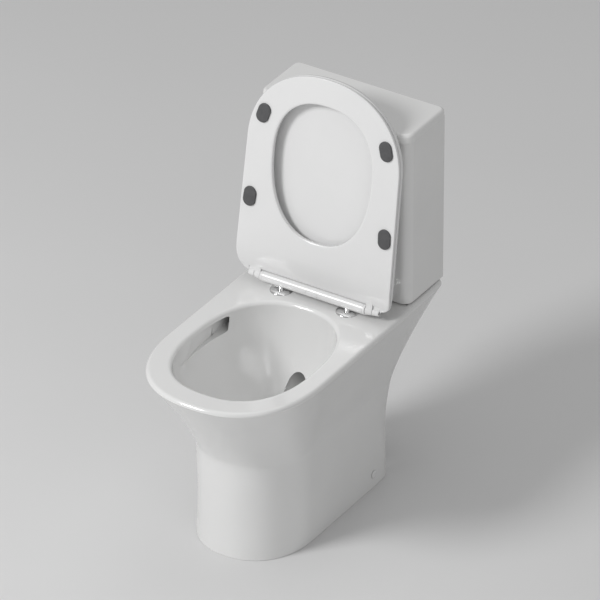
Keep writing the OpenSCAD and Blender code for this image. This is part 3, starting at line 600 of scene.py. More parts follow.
# The region of the sump that is smoothed.
SMOOTH_H, SMOOTH_HALF_W = 0.094, 0.075
BOLT_HOLE_R, TAIL_HOLE_R = 0.007, 0.016


class PanShape:
    """The pan's rings, from its sizes and the frame's box."""

    def __init__(self, s):
        self.s = s
        self.half_w = (PAN_HI.x - PAN_LO.x) / 2
        self.front, self.back, self.rim = PAN_LO.y, PAN_HI.y, PAN_HI.z
        self.toe = self.front + s.toe_setback
        self.heel = self.back - s.heel_setback
        self.bowl_y = self.front + s.rim_front + s.bowl_l * BOWL_FRONT
        self.under_deck = self.rim - s.deck_t
        self.edge_z = self.rim - s.rim_edge_r
        self.sump_z = self.rim - s.bowl_edge_r - s.bowl_drop - s.sump_d
        self.sump_y = self.bowl_y + BOWL_SHIFT * 0.55
        self.spigot_start = self.back - s.spigot_gap - s.spigot_l

    def side(self, z, inset):
        """The outer skin at a height, or the inner one where inset is the wall."""
        s = self.s
        flare = clamp((z - s.flare_start) / (self.edge_z - s.flare_start)) ** 1.25
        sweep = clamp((z - s.sweep_start) / (self.edge_z - s.sweep_start)) ** 1.75
        slim = s.waist * math.sin(math.pi * clamp(z / s.flare_start))
        return level(
            outline(
                mix(s.base_w / 2, self.half_w, flare) - slim - inset,
                mix(self.toe, self.front, flare) + slim + inset,
                mix(self.toe + s.base_round, self.front + s.rim_round, flare),
                mix(self.heel, self.back, sweep) - inset,
                mix(BASE_N, RIM_N, flare),
                BACK_N,
            ),
            z,
        )

    def edge(self, turn):
        r = self.s.rim_edge_r
        ring = self.side(self.rim, r * (1 - math.cos(turn)))
        return level(ring, self.rim - r * (1 - math.sin(turn)))

    def bowl(self, turn, z, grow):
        s = self.s
        c = math.cos(turn)
        kw, kf, kb = c**1.3, c**1.8, c
        middle = self.bowl_y + BOWL_SHIFT * (1 - kw)
        return level(
            outline(
                s.bowl_w / 2 * kw + grow, middle - s.bowl_l * BOWL_FRONT * kf - grow, middle,
                middle + s.bowl_l * BOWL_BACK * kb + grow, BOWL_N, BOWL_N,
            ),
            z,
        )

    def bowl_z(self, turn):
        s = self.s
        deepest = math.sin(math.radians(BOWL_END))
        return self.rim - s.bowl_edge_r - s.bowl_drop * math.sin(turn) / deepest

    def sump(self, k, z, grow):
        y = self.sump_y
        return level(
            outline(
                mix(*SUMP_HALF_W, k) + grow, mix(y - SUMP_FRONT[0], y - SUMP_FRONT[1], k) - grow,
                y + SUMP_MIDDLE, mix(y + SUMP_BACK[0], y + SUMP_BACK[1], k) + grow, BOWL_N, BOWL_N,
            ),
            z,
        )


def between(a, b, k):
    return [tuple(mix(p, q, k) for p, q in zip(u, v)) for u, v in zip(a, b)]


def pan_rings(p):
    """Rings from under the sump, out and down the inner skin, up the outer one and into the bowl."""
    s = p.s
    skin = s.wall - 0.001
    r = s.bowl_edge_r
    end = math.radians(BOWL_END)
    rings = [
        p.sump(1, p.sump_z - s.wall, 0),
        p.sump(1, p.sump_z + 0.004, skin),
        p.sump(0.3, p.sump_z + s.sump_d * 0.6, skin),
    ]
    rings += [p.bowl(a, p.bowl_z(a) - 0.006, skin) for a in steps(end, math.radians(10), 10)]
    rings.append(p.bowl(math.radians(8), p.under_deck, skin))
    rings += [p.side(z, s.wall) for z in steps(p.under_deck, 0, 24)]
    rings += [p.side(0, 0.0015), p.side(0.0006, 0.0004)]
    rings += [p.side(z, 0) for z in steps(0.0025, s.flare_start, 10)]
    rings += [p.side(z, 0) for z in steps(s.flare_start, p.edge_z, 36)[1:]]
    rings += [p.edge(a) for a in steps(0, math.pi / 2, 8)[1:]]
    flat = [p.edge(math.pi / 2), p.bowl(0, p.rim, r)]
    rings += [between(*flat, k) for k in (0.04, 0.3, 0.65, 0.94)]
    for a in steps(0, math.pi / 2, 6):
        rings.append(p.bowl(0, p.rim - r + r * math.cos(a), r * (1 - math.sin(a))))
    rings += [p.bowl(a, p.bowl_z(a), 0) for a in steps(0, end, 26)[1:]]
    return rings


def cavity(p):
    """The space inside the bowl and sump, as a closed tool."""
    r = p.s.bowl_edge_r
    rings = [p.bowl(0, p.rim + 0.003, r), p.bowl(0, p.rim, r)]
    for a in steps(0, math.pi / 2, 6)[1:]:
        rings.append(p.bowl(0, p.rim - r + r * math.cos(a), r * (1 - math.sin(a))))
    rings += [p.bowl(a, p.bowl_z(a), 0) for a in steps(0, math.radians(BOWL_END), 26)[1:]]
    return stacked(rings + sump_rings(p))


def trimmed(bm, *tools):
    """A tool mesh with other tools taken out of it."""
    shell = piece("trimmed", bm)
    for tool in tools:
        cut(shell, tool)
    return melted(shell)


def sump_rings(p):
    """The bowl's last ring and the sump below it."""
    end = math.radians(BOWL_END)
    key = [
        p.bowl(end, p.bowl_z(end), 0),
        p.sump(0.3, p.sump_z + p.s.sump_d * 0.6, 0),
        p.sump(1, p.sump_z + 0.012, 0),
        p.sump(1, p.sump_z, -0.014),
        p.sump(1, p.sump_z, -0.026),
    ]
    rings = []
    for a, b, count in zip(key, key[1:], (7, 8, 4, 1)):
        rings += [between(a, b, k) for k in steps(0, 1, count)[1:]]
    return rings


def bend_ring(y, z, turn, r, count=48):
    """A ring of the trap, square to its path."""
    ring = []
    for i in range(count):
        t = 2 * math.pi * i / count
        ring.append((
            r * math.cos(t),
            y + r * math.sin(t) * math.sin(turn),
            z - r * math.sin(t) * math.cos(turn),
        ))
    return ring


def bezier(p, t):
    u = 1 - t
    place = [u**3 * a + 3 * u * u * t * b + 3 * u * t * t * c + t**3 * d for a, b, c, d in zip(*p)]
    slope = [u * u * (b - a) + 2 * u * t * (c - b) + t * t * (d - c) for a, b, c, d in zip(*p)]
    return place[0], place[1], math.atan2(slope[1], slope[0])


def trap_rings(p, r, start, shoulder=0.0):
    """The trap's path from the sump over the weir to the outlet."""
    trap_in = (p.sump_y + TRAP_IN[0], p.sump_z + TRAP_IN[1])
    crest = (p.sump_y + TRAP_CREST[0], p.rim - TRAP_CREST[1])
    out = (p.spigot_start - 0.009, p.s.outlet_h)
    rise = [trap_in, (trap_in[0] + 0.075, trap_in[1]), (crest[0] - 0.062, crest[1]), crest]
    fall = [crest, (crest[0] + 0.058, crest[1]), (out[0] - 0.058, out[1]), out]
    rings = [bend_ring(*bezier(rise, k), r) for k in steps(start, 1, 14)]
    rings += [bend_ring(*bezier(fall, k), r) for k in steps(0, 1, 16)[1:]]
    rings.append(bend_ring(p.spigot_start + 0.004 + shoulder, p.s.outlet_h, 0, r))
    return rings


def trap_body(p):
    return stacked(trap_rings(p, p.s.trap_r + p.s.wall - TRAP_SKIN, TRAP_START))


def spigot(p, r, a, b, edge=0.0):
    """A rod on the outlet's axis, measured from where the spigot starts."""
    return rod(r, a, b, ALONG, (0, p.spigot_start, p.s.outlet_h), edge, 96)


def lengthwise(bm):
    """The edges that run along the pan."""
    return [e for e in bm.edges if abs(e.verts[0].co.y - e.verts[1].co.y) > 0.05]


def smooth_sump(bm, p):
    low = [
        v for v in bm.verts
        if p.sump_z < v.co.z < p.sump_z + SMOOTH_H and abs(v.co.x) < SMOOTH_HALF_W
    ]
    for _ in range(3):
        bmesh.ops.smooth_vert(
            bm, verts=low, factor=0.5, use_axis_x=True, use_axis_y=True, use_axis_z=True
        )


def add_slots(pan, p):
    """The two flush slots in their bodies, each with the groove that leads the flush forward."""
    s = p.s
    low, y = p.rim - SLOT_DROP - s.slot_h, p.bowl_y + SLOT_BACK
    high, groove = low + s.slot_h, s.bowl_w / 2
    x = groove - 0.0045
    for side in BOTH_SIDES:
        body = block((x - 0.022, y - 0.01, low - s.wall), (x + 0.022, y + 0.14, p.under_deck + 0.004))
        slot = block((x - s.slot_w / 2, y, low), (x + s.slot_w / 2, y + SLOT_L, high))
        round_edges(slot, lengthwise(slot), 0.004, 4)
        plan = [
            (groove - 0.020, y + 0.003), (groove + 0.0055, y + 0.003), (groove + 0.0035, y - 0.068),
            (groove - 0.008, y - 0.152), (groove - 0.020, y - 0.130),
        ]
        lead = prism(plan, low, high)
        join(pan, side(trimmed(body, cavity(p))))
        cut(pan, side(slot))
        cut(pan, side(lead))


def add_outlet(pan, p):
    """The trap and the outlet spigot, with their bores."""
    s = p.s
    join(pan, trimmed(trap_body(p), cavity(p)))
    join(pan, spigot(p, s.outlet_r, 0, s.spigot_l, 0.0015))
    cut(pan, stacked(trap_rings(p, s.trap_r, 0, 0.008)))
    cut(pan, spigot(p, s.outlet_r - 0.009, 0.008, s.spigot_l + 0.01))


def open_back(pan, p):
    """The open back round the trap and outlet, wider above for the fill valve's tail."""
    s = p.s
    half_w, end, roof = s.base_w / 2, p.back + 0.01, p.rim - BACK_ROOF
    hollow = block(
        (BACK_SIDE - half_w, p.heel - s.wall - 0.012, -0.01), (half_w - BACK_SIDE, end, roof)
    )
    round_edges(hollow, [e for e in lengthwise(hollow) if e.verts[0].co.z > 0.1], 0.018, 6)
    keep = spigot(p, s.outlet_r - 0.0002, -0.010, s.spigot_l + 0.001)
    cut(pan, trimmed(hollow, keep, trap_body(p)))
    lo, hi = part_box("fill_valve_body")
    side = half_w + 0.001
    cut(pan, block((-side, (lo.y + hi.y) / 2 - TAIL_ROOM, TAIL_ROOM_Z), (side, end, roof)))


class TOILET_OT_pan(bpy.types.Operator):
    """Builds the glazed pan with its bowl, flush slots, open back and outlet"""

    bl_idname = "toilet.pan"
    bl_label = "Pan"

    def execute(self, context):
        p = PanShape(context.scene.toilet_pan)
        bm = stacked(pan_rings(p) + sump_rings(p))
        smooth_sump(bm, p)
        pan = piece("pan", bm)
        add_slots(pan, p)
        add_outlet(pan, p)
        open_back(pan, p)
        for x, y, r in deck_holes():
            cut(pan, rod(r, -0.06, 0.01, UP, (x, y, p.rim), 0, 48))
        even_normals(pan)
        finish(pan, "toilet_body", "glazed_ceramic", "white_glaze", "pan")
        return {"FINISHED"}


def deck_holes():
    """The deck's holes for the hinge bolts, the coupling bolts and the valve's tail."""
    found = []
    for node in ("hinge_bolts", "coupling_bolts"):
        lo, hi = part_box(node)
        y = (lo.y + hi.y) / 2
        x = hi.x - (hi.y - lo.y) / 2
        found += [(x, y, BOLT_HOLE_R), (-x, y, BOLT_HOLE_R)]
    lo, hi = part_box("fill_valve_body")
    found.append(((lo.x + hi.x) / 2, (lo.y + hi.y) / 2, TAIL_HOLE_R))
    return found


# ---- Cistern, lid and buttons ----


def upright(edge):
    a, b = (v.co for v in edge.verts)
    return abs(a.x - b.x) < 1e-6 and abs(a.y - b.y) < 1e-6


def slab(lo, hi, front_r, back_r):
    """A box with rounded upright corners."""
    bm = block(lo, hi)
    middle = (lo[1] + hi[1]) / 2
    edges = [e for e in bm.edges if upright(e)]
    round_edges(bm, [e for e in edges if e.verts[0].co.y < middle], front_r, 12)
    edges = [e for e in bm.edges if upright(e) and e.verts[0].co.y > hi[1] - 1e-5]
    round_edges(bm, edges, back_r, 6)
    return bm


def level_edges(bm, z):
    return [e for e in bm.edges if all(abs(v.co.z - z) < 1e-6 for v in e.verts)]


class TOILET_OT_cistern(bpy.types.Operator):
    """Builds the glazed cistern with its hollow"""

    bl_idname = "toilet.cistern"
    bl_label = "Cistern"

    def execute(self, context):
        s = context.scene.toilet_tank
        bm = slab(TANK_LO, TANK_HI, s.front_r, s.back_r)
        round_edges(bm, level_edges(bm, TANK_LO.z), s.foot_r, 5)
        tank = piece("cistern", bm)
        inside = slab(
            TANK_LO + Vector((s.wall, s.wall, s.floor_t)),
            TANK_HI + Vector((-s.wall, -s.wall, 0.01)),
            s.front_r - s.wall + 0.002, 0.006,
        )
        cut(tank, inside)
        lo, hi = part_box("flush_valve_base")
        centre = (lo + hi) / 2
        cut(tank, rod(0.032, -0.03, 0.03, UP, (centre.x, centre.y, TANK_LO.z), 0))
        even_normals(tank)
        finish(tank, "toilet_body", "glazed_ceramic", "white_glaze", "cistern")
        return {"FINISHED"}


class TOILET_OT_lid(bpy.types.Operator):
    """Builds the cistern's lid with its rounded edge and button opening"""

    bl_idname = "toilet.lid"
    bl_label = "Cistern lid"

    def execute(self, context):
        s = context.scene.toilet_tank
        lo, hi = LID_LO.copy(), LID_HI.copy()
        lo.z = TANK_HI.z
        bm = slab(lo, hi, s.lid_front_r, s.lid_back_r)
        round_edges(bm, level_edges(bm, hi.z), s.lid_edge_r, 8)
        round_edges(bm, level_edges(bm, lo.z), 0.0012, 2)
        lid = piece("cistern_lid", bm)
        inner = Vector((s.wall + 0.002, s.wall + 0.002, 0))
        mouth_lo = Vector((TANK_LO.x, TANK_LO.y, LID_LO.z)) + inner
        mouth_hi = Vector((TANK_HI.x, TANK_HI.y, lo.z + 0.001)) - inner
        join(lid, slab(mouth_lo, mouth_hi, s.front_r - s.wall, 0.005))
        step = Vector((0.005, 0.005, 0))
        hollow_hi = mouth_hi - step
        hollow_hi.z = hi.z - 0.008
        cut(lid, slab(mouth_lo + step - Vector((0, 0, 0.01)), hollow_hi, 0.006, 0.004))
        lo_b, hi_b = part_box("button_bezel")
        centre = (lo_b + hi_b) / 2
        cut(lid, rod(s.button_hole_r, -0.03, 0.01, UP, (centre.x, centre.y, hi.z), 0, 96))
        even_normals(lid)
        finish(lid, "toilet_body", "glazed_ceramic", "white_glaze", "cistern_lid")
        return {"FINISHED"}


class TOILET_OT_buttons(bpy.types.Operator):
    """Builds the polished bezel and the two halves of the flush button"""

    bl_idname = "toilet.buttons"
    bl_label = "Flush buttons"

    def execute(self, context):
        lo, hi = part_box("button_bezel")
        centre = Vector(((lo.x + hi.x) / 2, (lo.y + hi.y) / 2, 0))
        outer, inner = (hi.x - lo.x) / 2, 0.0199
        profile = [
            (inner, lo.z), (outer, lo.z), (outer - 0.0002, lo.z + 0.0007),
            (outer - 0.0007, hi.z - 0.0003), (outer - 0.0013, hi.z), (inner + 0.0008, hi.z),
            (inner + 0.0002, hi.z - 0.0003), (inner, hi.z - 0.0009), (inner, lo.z),
        ]
        bezel = piece("button_bezel", turned(profile, UP, centre, 96))
        finish(bezel, "toilet_body", "chrome_trim", "polished_chrome", "button_bezel")
        for node, body in (("full_flush_button", "full_button"), ("half_flush_button", "half_button")):
            lo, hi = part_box(node)
            radius = max(abs(lo.x), abs(hi.x))
            bm = rod(radius, lo.z, hi.z, UP, centre, 0.0012, 96)
            edge, away = (hi.x, 1) if hi.x < 0 else (lo.x, -1)
            sliced(bm, (edge, 0, 0), (away, 0, 0))
            rim = [
                e for e in bm.edges
                if all(abs(v.co.x - edge) < 1e-6 and v.co.z > hi.z - 1e-5 for v in e.verts)
            ]
            round_edges(bm, rim, 0.0008, 3)
            button = piece(node, bm)
            finish(button, body, "chrome_trim", "polished_chrome", node)
        return {"FINISHED"}


# ---- Seat and cover, shaped closed about the hinge and then raised ----

RAISE = Matrix.Translation(HINGE) @ Matrix.Rotation(-CLOSING_TURN, 4, "X")
LUG_T, LUG_GAP = 0.014, 0.0008
LUG_EDGE = 0.0008
PIN_BORE_R = 0.0041
ARCH_L = 0.050
SKIRT_GAP = 0.0016
FLAP_BACK_N = 16


class FlapShape:
    """Outlines that the seat and the cover share."""

    def __init__(self, s):
        self.s = s
        self.front = PAN_LO.y - s.seat_over - HINGE.y
        self.middle = self.front + s.seat_round
        self.back = -0.002
        self.under = PAN_HI.z - HINGE.z + s.buffer_t + 0.0004
        self.arch_h = -self.under - 0.002
        self.seat_lug = s.bar_l / 2 + LUG_GAP
        self.cover_lug = self.seat_lug + LUG_T + LUG_GAP
        self.open_front = self.front + s.opening_front
        self.open_middle = self.open_front + s.opening_l * 0.436

    def arch(self, y):
        return self.arch_h * (1 - math.cos(math.pi / 2 * clamp((y + ARCH_L + 0.010) / ARCH_L)))

    def edge_z(self, y):
        return self.under + self.s.seat_edge_t + self.arch(y) * 0.78

    def flap(self, inset):
        s = self.s
        half_w, front, back = s.seat_w / 2 - inset, self.front + inset, self.back - inset
        ring = outline(half_w, front, self.middle, back, SEAT_N, FLAP_BACK_N)
        flare, span = s.seat_flare / s.seat_w, self.back - self.middle
        return [(x * (1 + flare * clamp((y - self.middle) / span)), y) for x, y in ring]

    def opening(self, grow):
        s = self.s
        return outline(
            s.opening_w / 2 + grow, self.open_front - grow, self.open_middle,
            self.open_front + s.opening_l + grow, OPENING_N, OPENING_N,
        )

    def underside(self, ring, lift=0.0):
        return [(x, y, self.under + self.arch(y) + lift) for x, y in ring]

    def topside(self, ring, k):
        t = self.under + self.s.seat_t - 0.0015
        return [(x, y, mix(t + self.arch(y) * 0.25, self.edge_z(y), k**3)) for x, y in ring]

    def skirt(self, inset, k):
        rise = self.s.cover_rise
        return [(x, y, mix(self.edge_z(y) + SKIRT_GAP, rise, k)) for x, y in self.flap(inset)]


def hinge_lug(x, near, far, reach, z0, z1):
    """A tapered lug that runs from a flap to the hinge axis, drawn on the right."""
    end = x + LUG_T
    profile = [
        (0, x), (near - LUG_EDGE, x), (near, x + LUG_EDGE),
        (far, end - LUG_EDGE), (far - LUG_EDGE, end), (0, end),
    ]
    lug = piece("lug", turned(profile, ACROSS, ORIGIN, 72))
    join(lug, block((x, -reach, z0), (x + LUG_T, 0, z1)))
    return melted(lug)


def pin_bore(x):
    """The bore for a hinge pin through a lug."""
    return rod(PIN_BORE_R, x - 0.001, x + LUG_T + 0.001, ACROSS, ORIGIN, 0, 48)


class TOILET_OT_seat(bpy.types.Operator):
    """Builds the moulded seat ring with its hinge lugs"""

    bl_idname = "toilet.seat"
    bl_label = "Seat"

    def execute(self, context):
        f = FlapShape(context.scene.toilet_seat)
        s = f.s
        t = f.under + s.seat_t
        o, e = f.opening(0.0022), f.flap(0.0018)
        rings = [f.underside(between(o, e, k)) for k in (0, 0.04, 0.2, 0.4, 0.6, 0.8, 0.96, 1)]
        rings.append(f.underside(f.flap(0.0006), 0.0005))
        rings.append(f.underside(f.flap(0), 0.0018))
        rings.append([(x, y, f.edge_z(y) - 0.0022) for x, y in f.flap(0)])
        rings.append([(x, y, f.edge_z(y) - 0.0006) for x, y in f.flap(0.0006)])
        inner, outer = f.opening(0.002), f.flap(0.0022)
        for k in (1, 0.92, 0.8, 0.65, 0.5, 0.35, 0.2):
            rings.append(f.topside(between(inner, outer, k), k))
        rings.append([(x, y, t - 0.0013) for x, y in f.opening(0.0055)])
        rings.append([(x, y, t - 0.0026) for x, y in f.opening(0.0022)])
        rings.append([(x, y, t - 0.0050) for x, y in f.opening(0.0004)])
        rings.append([(x, y, f.under + 0.0030) for x, y in f.opening(0)])
        rings.append([(x, y, f.under + 0.0012) for x, y in f.opening(0.0004)])
        bm = stacked(rings, capped=False, looped=True)
        seat = piece("seat", bm)
        for side in BOTH_SIDES:
            join(seat, side(hinge_lug(f.seat_lug, 0.0105, 0.008, 0.026, -0.006, 0)))
        cut(seat, block((-f.seat_lug, -s.bar_r - 0.002, -0.04), (f.seat_lug, 0.03, 0.02)))
        room_end = f.cover_lug + LUG_T + LUG_GAP
        for side in BOTH_SIDES:
            cut(seat, side(block((f.cover_lug - LUG_GAP, -0.014, -0.02), (room_end, 0.03, 0.04))))
            cut(seat, side(pin_bore(f.seat_lug)))
        seat.data.transform(RAISE)
        even_normals(seat)
        finish(seat, "seat_ring", "seat_plastic", "seat_white", "seat")
        return {"FINISHED"}


class TOILET_OT_cover(bpy.types.Operator):
    """Builds the moulded cover with its turned-down skirt"""

    bl_idname = "toilet.cover"
    bl_label = "Cover"

    def execute(self, context):
        f = FlapShape(context.scene.toilet_seat)
        s = f.s
        e, t, top = 0.015, s.cover_wall, s.cover_rise
        rings = [level(f.flap(e + inset), top - t) for inset in (0.060, 0.02, 0)]
        for a in steps(math.radians(80), math.radians(5), 8):
            ring = f.flap(t + (e - t) * (1 - math.cos(a)))
            rings.append([(x, y, mix(f.edge_z(y) + SKIRT_GAP, top - t, math.sin(a))) for x, y in ring])
        rings += [f.skirt(inset, 0) for inset in (t, t - 0.0008, 0.0008)]
        rings += [f.skirt(0.0002, 0.03), f.skirt(0, 0.08)]
        for a in steps(math.radians(10), math.radians(90), 9):
            rings.append(f.skirt(e * (1 - math.cos(a)), math.sin(a)))
        rings += [level(f.flap(e + 0.02), top), level(f.flap(e + 0.060), top)]
        cover = piece("cover", stacked(rings))
        for side in BOTH_SIDES:
            join(cover, side(hinge_lug(f.cover_lug, 0.0078, 0.006, 0.0134, -0.002, 0.007)))
        gap = f.cover_lug - LUG_GAP
        cut(cover, block((-gap, -s.bar_r - 0.003, -0.04), (gap, 0.03, 0.02)))
        for side in BOTH_SIDES:
            cut(cover, side(pin_bore(f.cover_lug)))
        cover.data.transform(RAISE)
        even_normals(cover)
        finish(cover, "cover_flap", "seat_plastic", "seat_white", "cover")
        return {"FINISHED"}


BUFFER_L, BUFFER_W = 0.042, 0.028
# Each pair of seat buffers: half spacing, distance in front of the hinge and turn in degrees.
BUFFER_PAIRS = ((0.142, 0.3515, -16), (0.157, 0.1678, -4))
STUD_R, STUD_OUT, STUD_YS = 0.005, 0.024, (-0.120, -0.320)


def pad(height, turn, place):
    """An oval rubber buffer with a rounded edge, hanging below its place."""
    bm = bmesh.new()
    bmesh.ops.create_circle(bm, segments=64, radius=BUFFER_W / 2, cap_ends=True)
    for v in bm.verts:
        v.co.y += math.copysign((BUFFER_L - BUFFER_W) / 2, v.co.y) if abs(v.co.y) > 1e-7 else 0
    grown = bmesh.ops.extrude_face_region(bm, geom=list(bm.faces))["geom"]
    bmesh.ops.translate(bm, vec=(0, 0, -height), verts=verts_of(grown))
    round_edges(bm, level_edges(bm, -height), 0.0012, 4)
    move = RAISE @ Matrix.Translation(place) @ Matrix.Rotation(turn, 4, "Z")
    bmesh.ops.transform(bm, matrix=move, verts=bm.verts)
    return bm


class TOILET_OT_buffers(bpy.types.Operator):
    """Builds the rubber buffers under the seat and inside the cover"""

    bl_idname = "toilet.buffers"
    bl_label = "Buffers"

    def execute(self, context):
        f = FlapShape(context.scene.toilet_seat)
        bm = bmesh.new()
        for x, along, turn in BUFFER_PAIRS:
            for side in (1, -1):
                place = Vector((side * x, -along, f.under))
                add_mesh(bm, pad(f.s.buffer_t, math.radians(side * turn), place))
        buffers = piece("seat_buffers", bm)
        finish(buffers, "seat_ring", "grey_rubber", "buffer_grey", "seat_buffers")
        bm = bmesh.new()
        low = f.under + f.s.seat_t - 0.0011
        high = f.s.cover_rise - f.s.cover_wall
        for y in STUD_YS:
            for side in (1, -1):
                stud = rod(STUD_R, -(high - low), 0, UP, ORIGIN, 0.0012, 40)
                x = side * (f.s.opening_w / 2 + STUD_OUT)
                move = RAISE @ Matrix.Translation((x, y, high))
                bmesh.ops.transform(stud, matrix=move, verts=stud.verts)
                add_mesh(bm, stud)
        studs = piece("cover_buffers", bm)
        finish(studs, "cover_flap", "clear_rubber", "clear_rubber", "cover_buffers")
        return {"FINISHED"}


# ---- Hinge ----

PILLAR_ROOM_R, RING_BORE_R = 0.0068, 0.00402
DISC_BORE_R, DISC_FLAT_R, DISC_FOOT = 0.00405, 0.012, 0.0006


def release_plan(s, grow, deep):
    """A rod-ended prism in the shape of the release button, pointing to the front."""
    half, r = (s.release_w - s.release_h) / 2, s.release_h / 2 + grow
    points = []
    for i in range(48):
        a = 2 * math.pi * i / 48
        points.append((math.copysign(half, math.cos(a)) + r * math.cos(a), r * math.sin(a)))
    bm = prism(points, 0, deep)
    forward = Matrix.Rotation(math.pi / 2, 3, "X")
    bmesh.ops.rotate(bm, cent=ORIGIN, matrix=forward, verts=bm.verts)
    bmesh.ops.translate(bm, vec=HINGE, verts=bm.verts)
    return bm


class TOILET_OT_hinge(bpy.types.Operator):
    """Builds the hinge bar, its end rings, the release button and the polished base discs"""

    bl_idname = "toilet.hinge"
    bl_label = "Hinge"

    def execute(self, context):
        s = context.scene.toilet_seat
        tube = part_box("hinge_bar")[1].x
        r, bore = s.bar_r, s.bar_r - 0.002
        profile = [
            (bore, -tube), (r - 0.0006, -tube), (r, -tube + 0.0006), (r, tube - 0.0006),
            (r - 0.0006, tube), (bore, tube), (bore, -tube),
        ]
        bar = piece("hinge_bar", turned(profile, ACROSS, HINGE, 96))
        cut(bar, release_plan(s, 0.00035, r + 0.002))
        lo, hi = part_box("hinge_bolts")
        spacing = hi.x - (hi.y - lo.y) / 2
        for side in (1, -1):
            place = HINGE + Vector((side * spacing, 0, 0))
            cut(bar, rod(PILLAR_ROOM_R, -r - 0.002, 0, UP, place, 0, 48))
        even_normals(bar)
        finish(bar, "hinge_bar_unit", "seat_plastic", "seat_white", "hinge_bar")

        bm = bmesh.new()
        end = s.bar_l / 2
        profile = [
            (RING_BORE_R, tube), (r - 0.0006, tube + 0.00005), (r, tube + 0.0006), (r, end - 0.001),
            (r - 0.0003, end - 0.0003), (r - 0.001, end), (RING_BORE_R, end), (RING_BORE_R, tube),
        ]
        for side in BOTH_SIDES:
            add_mesh(bm, side(turned(profile, ACROSS, HINGE, 96)))
        rings = piece("hinge_end_rings", bm)
        finish(rings, "hinge_bar_unit", "seat_plastic", "seat_white", "hinge_end_rings")

        lo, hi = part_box("release_button")
        bm = release_plan(s, 0, -lo.y + HINGE.y)
        back = HINGE.y - s.bar_r + 0.007
        sliced(bm, (0, back, 0), ALONG)
        face = [e for e in bm.edges if all(abs(v.co.y - lo.y) < 1e-6 for v in e.verts)]
        round_edges(bm, face, 0.0007, 3)
        tongue = block((-0.004, back - 0.0001, HINGE.z - 0.003), (0.004, hi.y, HINGE.z + 0.003))
        add_mesh(bm, tongue)
        button = piece("release_button", bm)
        finish(button, "release_catch", "seat_plastic", "seat_white", "release_button")

        for node in ("hinge_base_left", "hinge_base_right"):
            lo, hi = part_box(node)
            wide, high = (hi.x - lo.x) / 2, hi.z - lo.z
            profile = [(DISC_BORE_R, 0), (wide - DISC_FOOT, 0), (wide, DISC_FOOT)]
            for a in steps(12, 90, 10):
                out, up = math.cos(math.radians(a)), math.sin(math.radians(a))
                x = DISC_FLAT_R + (wide - DISC_FLAT_R) * out
                profile.append((x, DISC_FOOT + (high - DISC_FOOT) * up))
            profile += [(DISC_BORE_R, high), (DISC_BORE_R, 0)]
            centre = ((lo.x + hi.x) / 2, (lo.y + hi.y) / 2, lo.z)
            disc = piece(node, turned(profile, UP, centre, 96))
            finish(disc, "toilet_body", "chrome_trim", "polished_chrome", node)

        bm = bmesh.new()
        lo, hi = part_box("hinge_pillars")
        for side in (1, -1):
            centre = (side * spacing, (lo.y + hi.y) / 2, lo.z)
            add_mesh(bm, rod((hi.y - lo.y) / 2, 0, hi.z - lo.z, UP, centre, 0.0006, 64))
        pillars = piece("hinge_pillars", bm)
        finish(pillars, "toilet_body", "chrome_trim", "polished_chrome", "hinge_pillars")
        return {"FINISHED"}


class TOILET_OT_side_caps(bpy.types.Operator):
    """Builds the small caps over the side screws"""

    bl_idname = "toilet.side_caps"
    bl_label = "Side caps"

    def execute(self, context):
        lo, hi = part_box("side_screw_caps")
        r = (hi.z - lo.z) / 2
        centre = Vector((0, (lo.y + hi.y) / 2, (lo.z + hi.z) / 2))
        face = hi.x - 0.0022
        plug, plug_r = face - 0.0024, 0.0039
        profile = [(0, plug), (plug_r, plug), (plug_r, face), (r - 0.0002, face), (r, face + 0.0004)]
        for a in steps(10, 90, 8):
            out, up = math.cos(math.radians(a)), math.sin(math.radians(a))
            profile.append((0.003 + (r - 0.003) * out, face + 0.0008 + 0.0014 * up))
        profile.append((0, hi.x))
        bm = bmesh.new()
        for side in BOTH_SIDES:
            add_mesh(bm, side(turned(profile, ACROSS, centre, 64)))
        caps = piece("side_screw_caps", bm)
        finish(caps, "toilet_body", "seat_plastic", "seat_white", "side_screw_caps")
        return {"FINISHED"}


# ---- Valves, fastenings and seals that keep their own shape ----

SLOT_FINISH = {
    "glazed_ceramic": "white_glaze",
    "seat_plastic": "seat_white",
    "white_plastic": "valve_white",
    "blue_plastic": "valve_blue",
    "grey_plastic": "bracket_grey",
    "grey_rubber": "seal_rubber",
    "clear_rubber": "clear_rubber",
    "chrome_trim": "polished_chrome",
    "steel": "drawn_steel",
}


class TOILET_OT_fittings(bpy.types.Operator):
    """Gives the valves, springs, bolts, brackets and seals their finishes"""

    bl_idname = "toilet.fittings"
    bl_label = "Fittings"

    def execute(self, context):
        slots = {p["node"]: p["material_slot"] for p in frame["record"]["subparts"]}
        for node, obj in frame["nodes"].items():
            if obj.hide_render:
                continue
            material = bpy.data.materials[SLOT_FINISH[slots[node]]]
            if not obj.material_slots:
                obj.data.materials.append(material)
            for place in obj.material_slots:
                place.material = material
        return {"FINISHED"}


# ---- Stage ----


def area_light(name, place, target, size, power):
    data = bpy.data.lights.new(name, "AREA")
    data.shape, data.size, data.energy = "DISK", size, power
    light = bpy.data.objects.new(name, data)
    bpy.context.scene.collection.objects.link(light)
    light.location = place
    light.rotation_euler = (Vector(target) - Vector(place)).to_track_quat("-Z", "Y").to_euler()


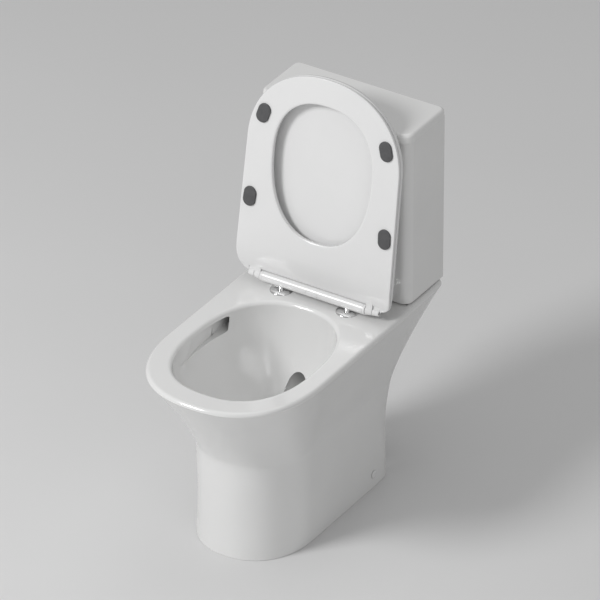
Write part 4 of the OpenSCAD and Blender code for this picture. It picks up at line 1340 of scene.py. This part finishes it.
class TOILET_OT_stage(bpy.types.Operator):
    """Builds the floor, the soft lights and the camera"""

    bl_idname = "toilet.stage"
    bl_label = "Floor, lights and camera"

    def execute(self, context):
        scene = context.scene
        bm = bmesh.new()
        bmesh.ops.create_grid(bm, x_segments=1, y_segments=1, size=8)
        floor = piece("floor", bm)
        floor.data.materials.append(bpy.data.materials["plain_floor"])

        world = bpy.data.worlds.new("soft_room")
        scene.world = world
        world.use_nodes = True
        sky = world.node_tree.nodes["Background"]
        sky.inputs["Color"].default_value = (0.74, 0.74, 0.74, 1)
        sky.inputs["Strength"].default_value = 0.5
        target = (0, 0, 0.35)
        area_light("key", (-2.2, -3.6, 3.6), target, 1.6, 150)
        area_light("fill", (3.6, -2.6, 2.6), target, 3.0, 16)
        area_light("top", (0.0, 0.6, 4.5), target, 3.0, 20)

        data = bpy.data.cameras.new("camera")
        data.sensor_width, data.lens = 36, 473.7
        data.clip_start, data.clip_end = 0.5, 100
        camera = bpy.data.objects.new("camera", data)
        scene.collection.objects.link(camera)
        back = Vector((0.45386, -0.71905, 0.52628))
        camera.location = (7.0989, -11.1780, 8.6803)
        camera.rotation_mode = "QUATERNION"
        camera.rotation_quaternion = (-back).to_track_quat("-Z", "Y")
        scene.camera = camera
        scene.view_settings.view_transform = "Standard"
        return {"FINISHED"}


OPERATORS = (
    TOILET_OT_stage,
    TOILET_OT_pan,
    TOILET_OT_cistern,
    TOILET_OT_lid,
    TOILET_OT_buttons,
    TOILET_OT_seat,
    TOILET_OT_cover,
    TOILET_OT_buffers,
    TOILET_OT_hinge,
    TOILET_OT_side_caps,
    TOILET_OT_fittings,
)


class TOILET_PT_panel(bpy.types.Panel):
    """Lists the sizes, finishes and steps"""

    bl_idname = "TOILET_PT_panel"
    bl_label = "Toilet"
    bl_space_type = "VIEW_3D"
    bl_region_type = "UI"
    bl_category = "Toilet"

    def draw(self, context):
        for group, kind in GROUPS.items():
            box = self.layout.box()
            box.label(text=kind.__doc__)
            for name in kind.__annotations__:
                box.prop(getattr(context.scene, group), name)
        for kind in OPERATORS:
            self.layout.operator(kind.bl_idname)


def register():
    for kind in [*GROUPS.values(), *OPERATORS, TOILET_PT_panel]:
        bpy.utils.register_class(kind)
    for name, kind in GROUPS.items():
        setattr(bpy.types.Scene, name, bpy.props.PointerProperty(type=kind))


def unregister():
    for name in GROUPS:
        delattr(bpy.types.Scene, name)
    for kind in [TOILET_PT_panel, *reversed(OPERATORS), *reversed(GROUPS.values())]:
        bpy.utils.unregister_class(kind)


def main():
    register()
    make_finishes(bpy.context.scene.toilet_finish)
    for kind in OPERATORS:
        group, name = kind.bl_idname.split(".")
        getattr(getattr(bpy.ops, group), name)()


if __name__ == "__main__":
    main()
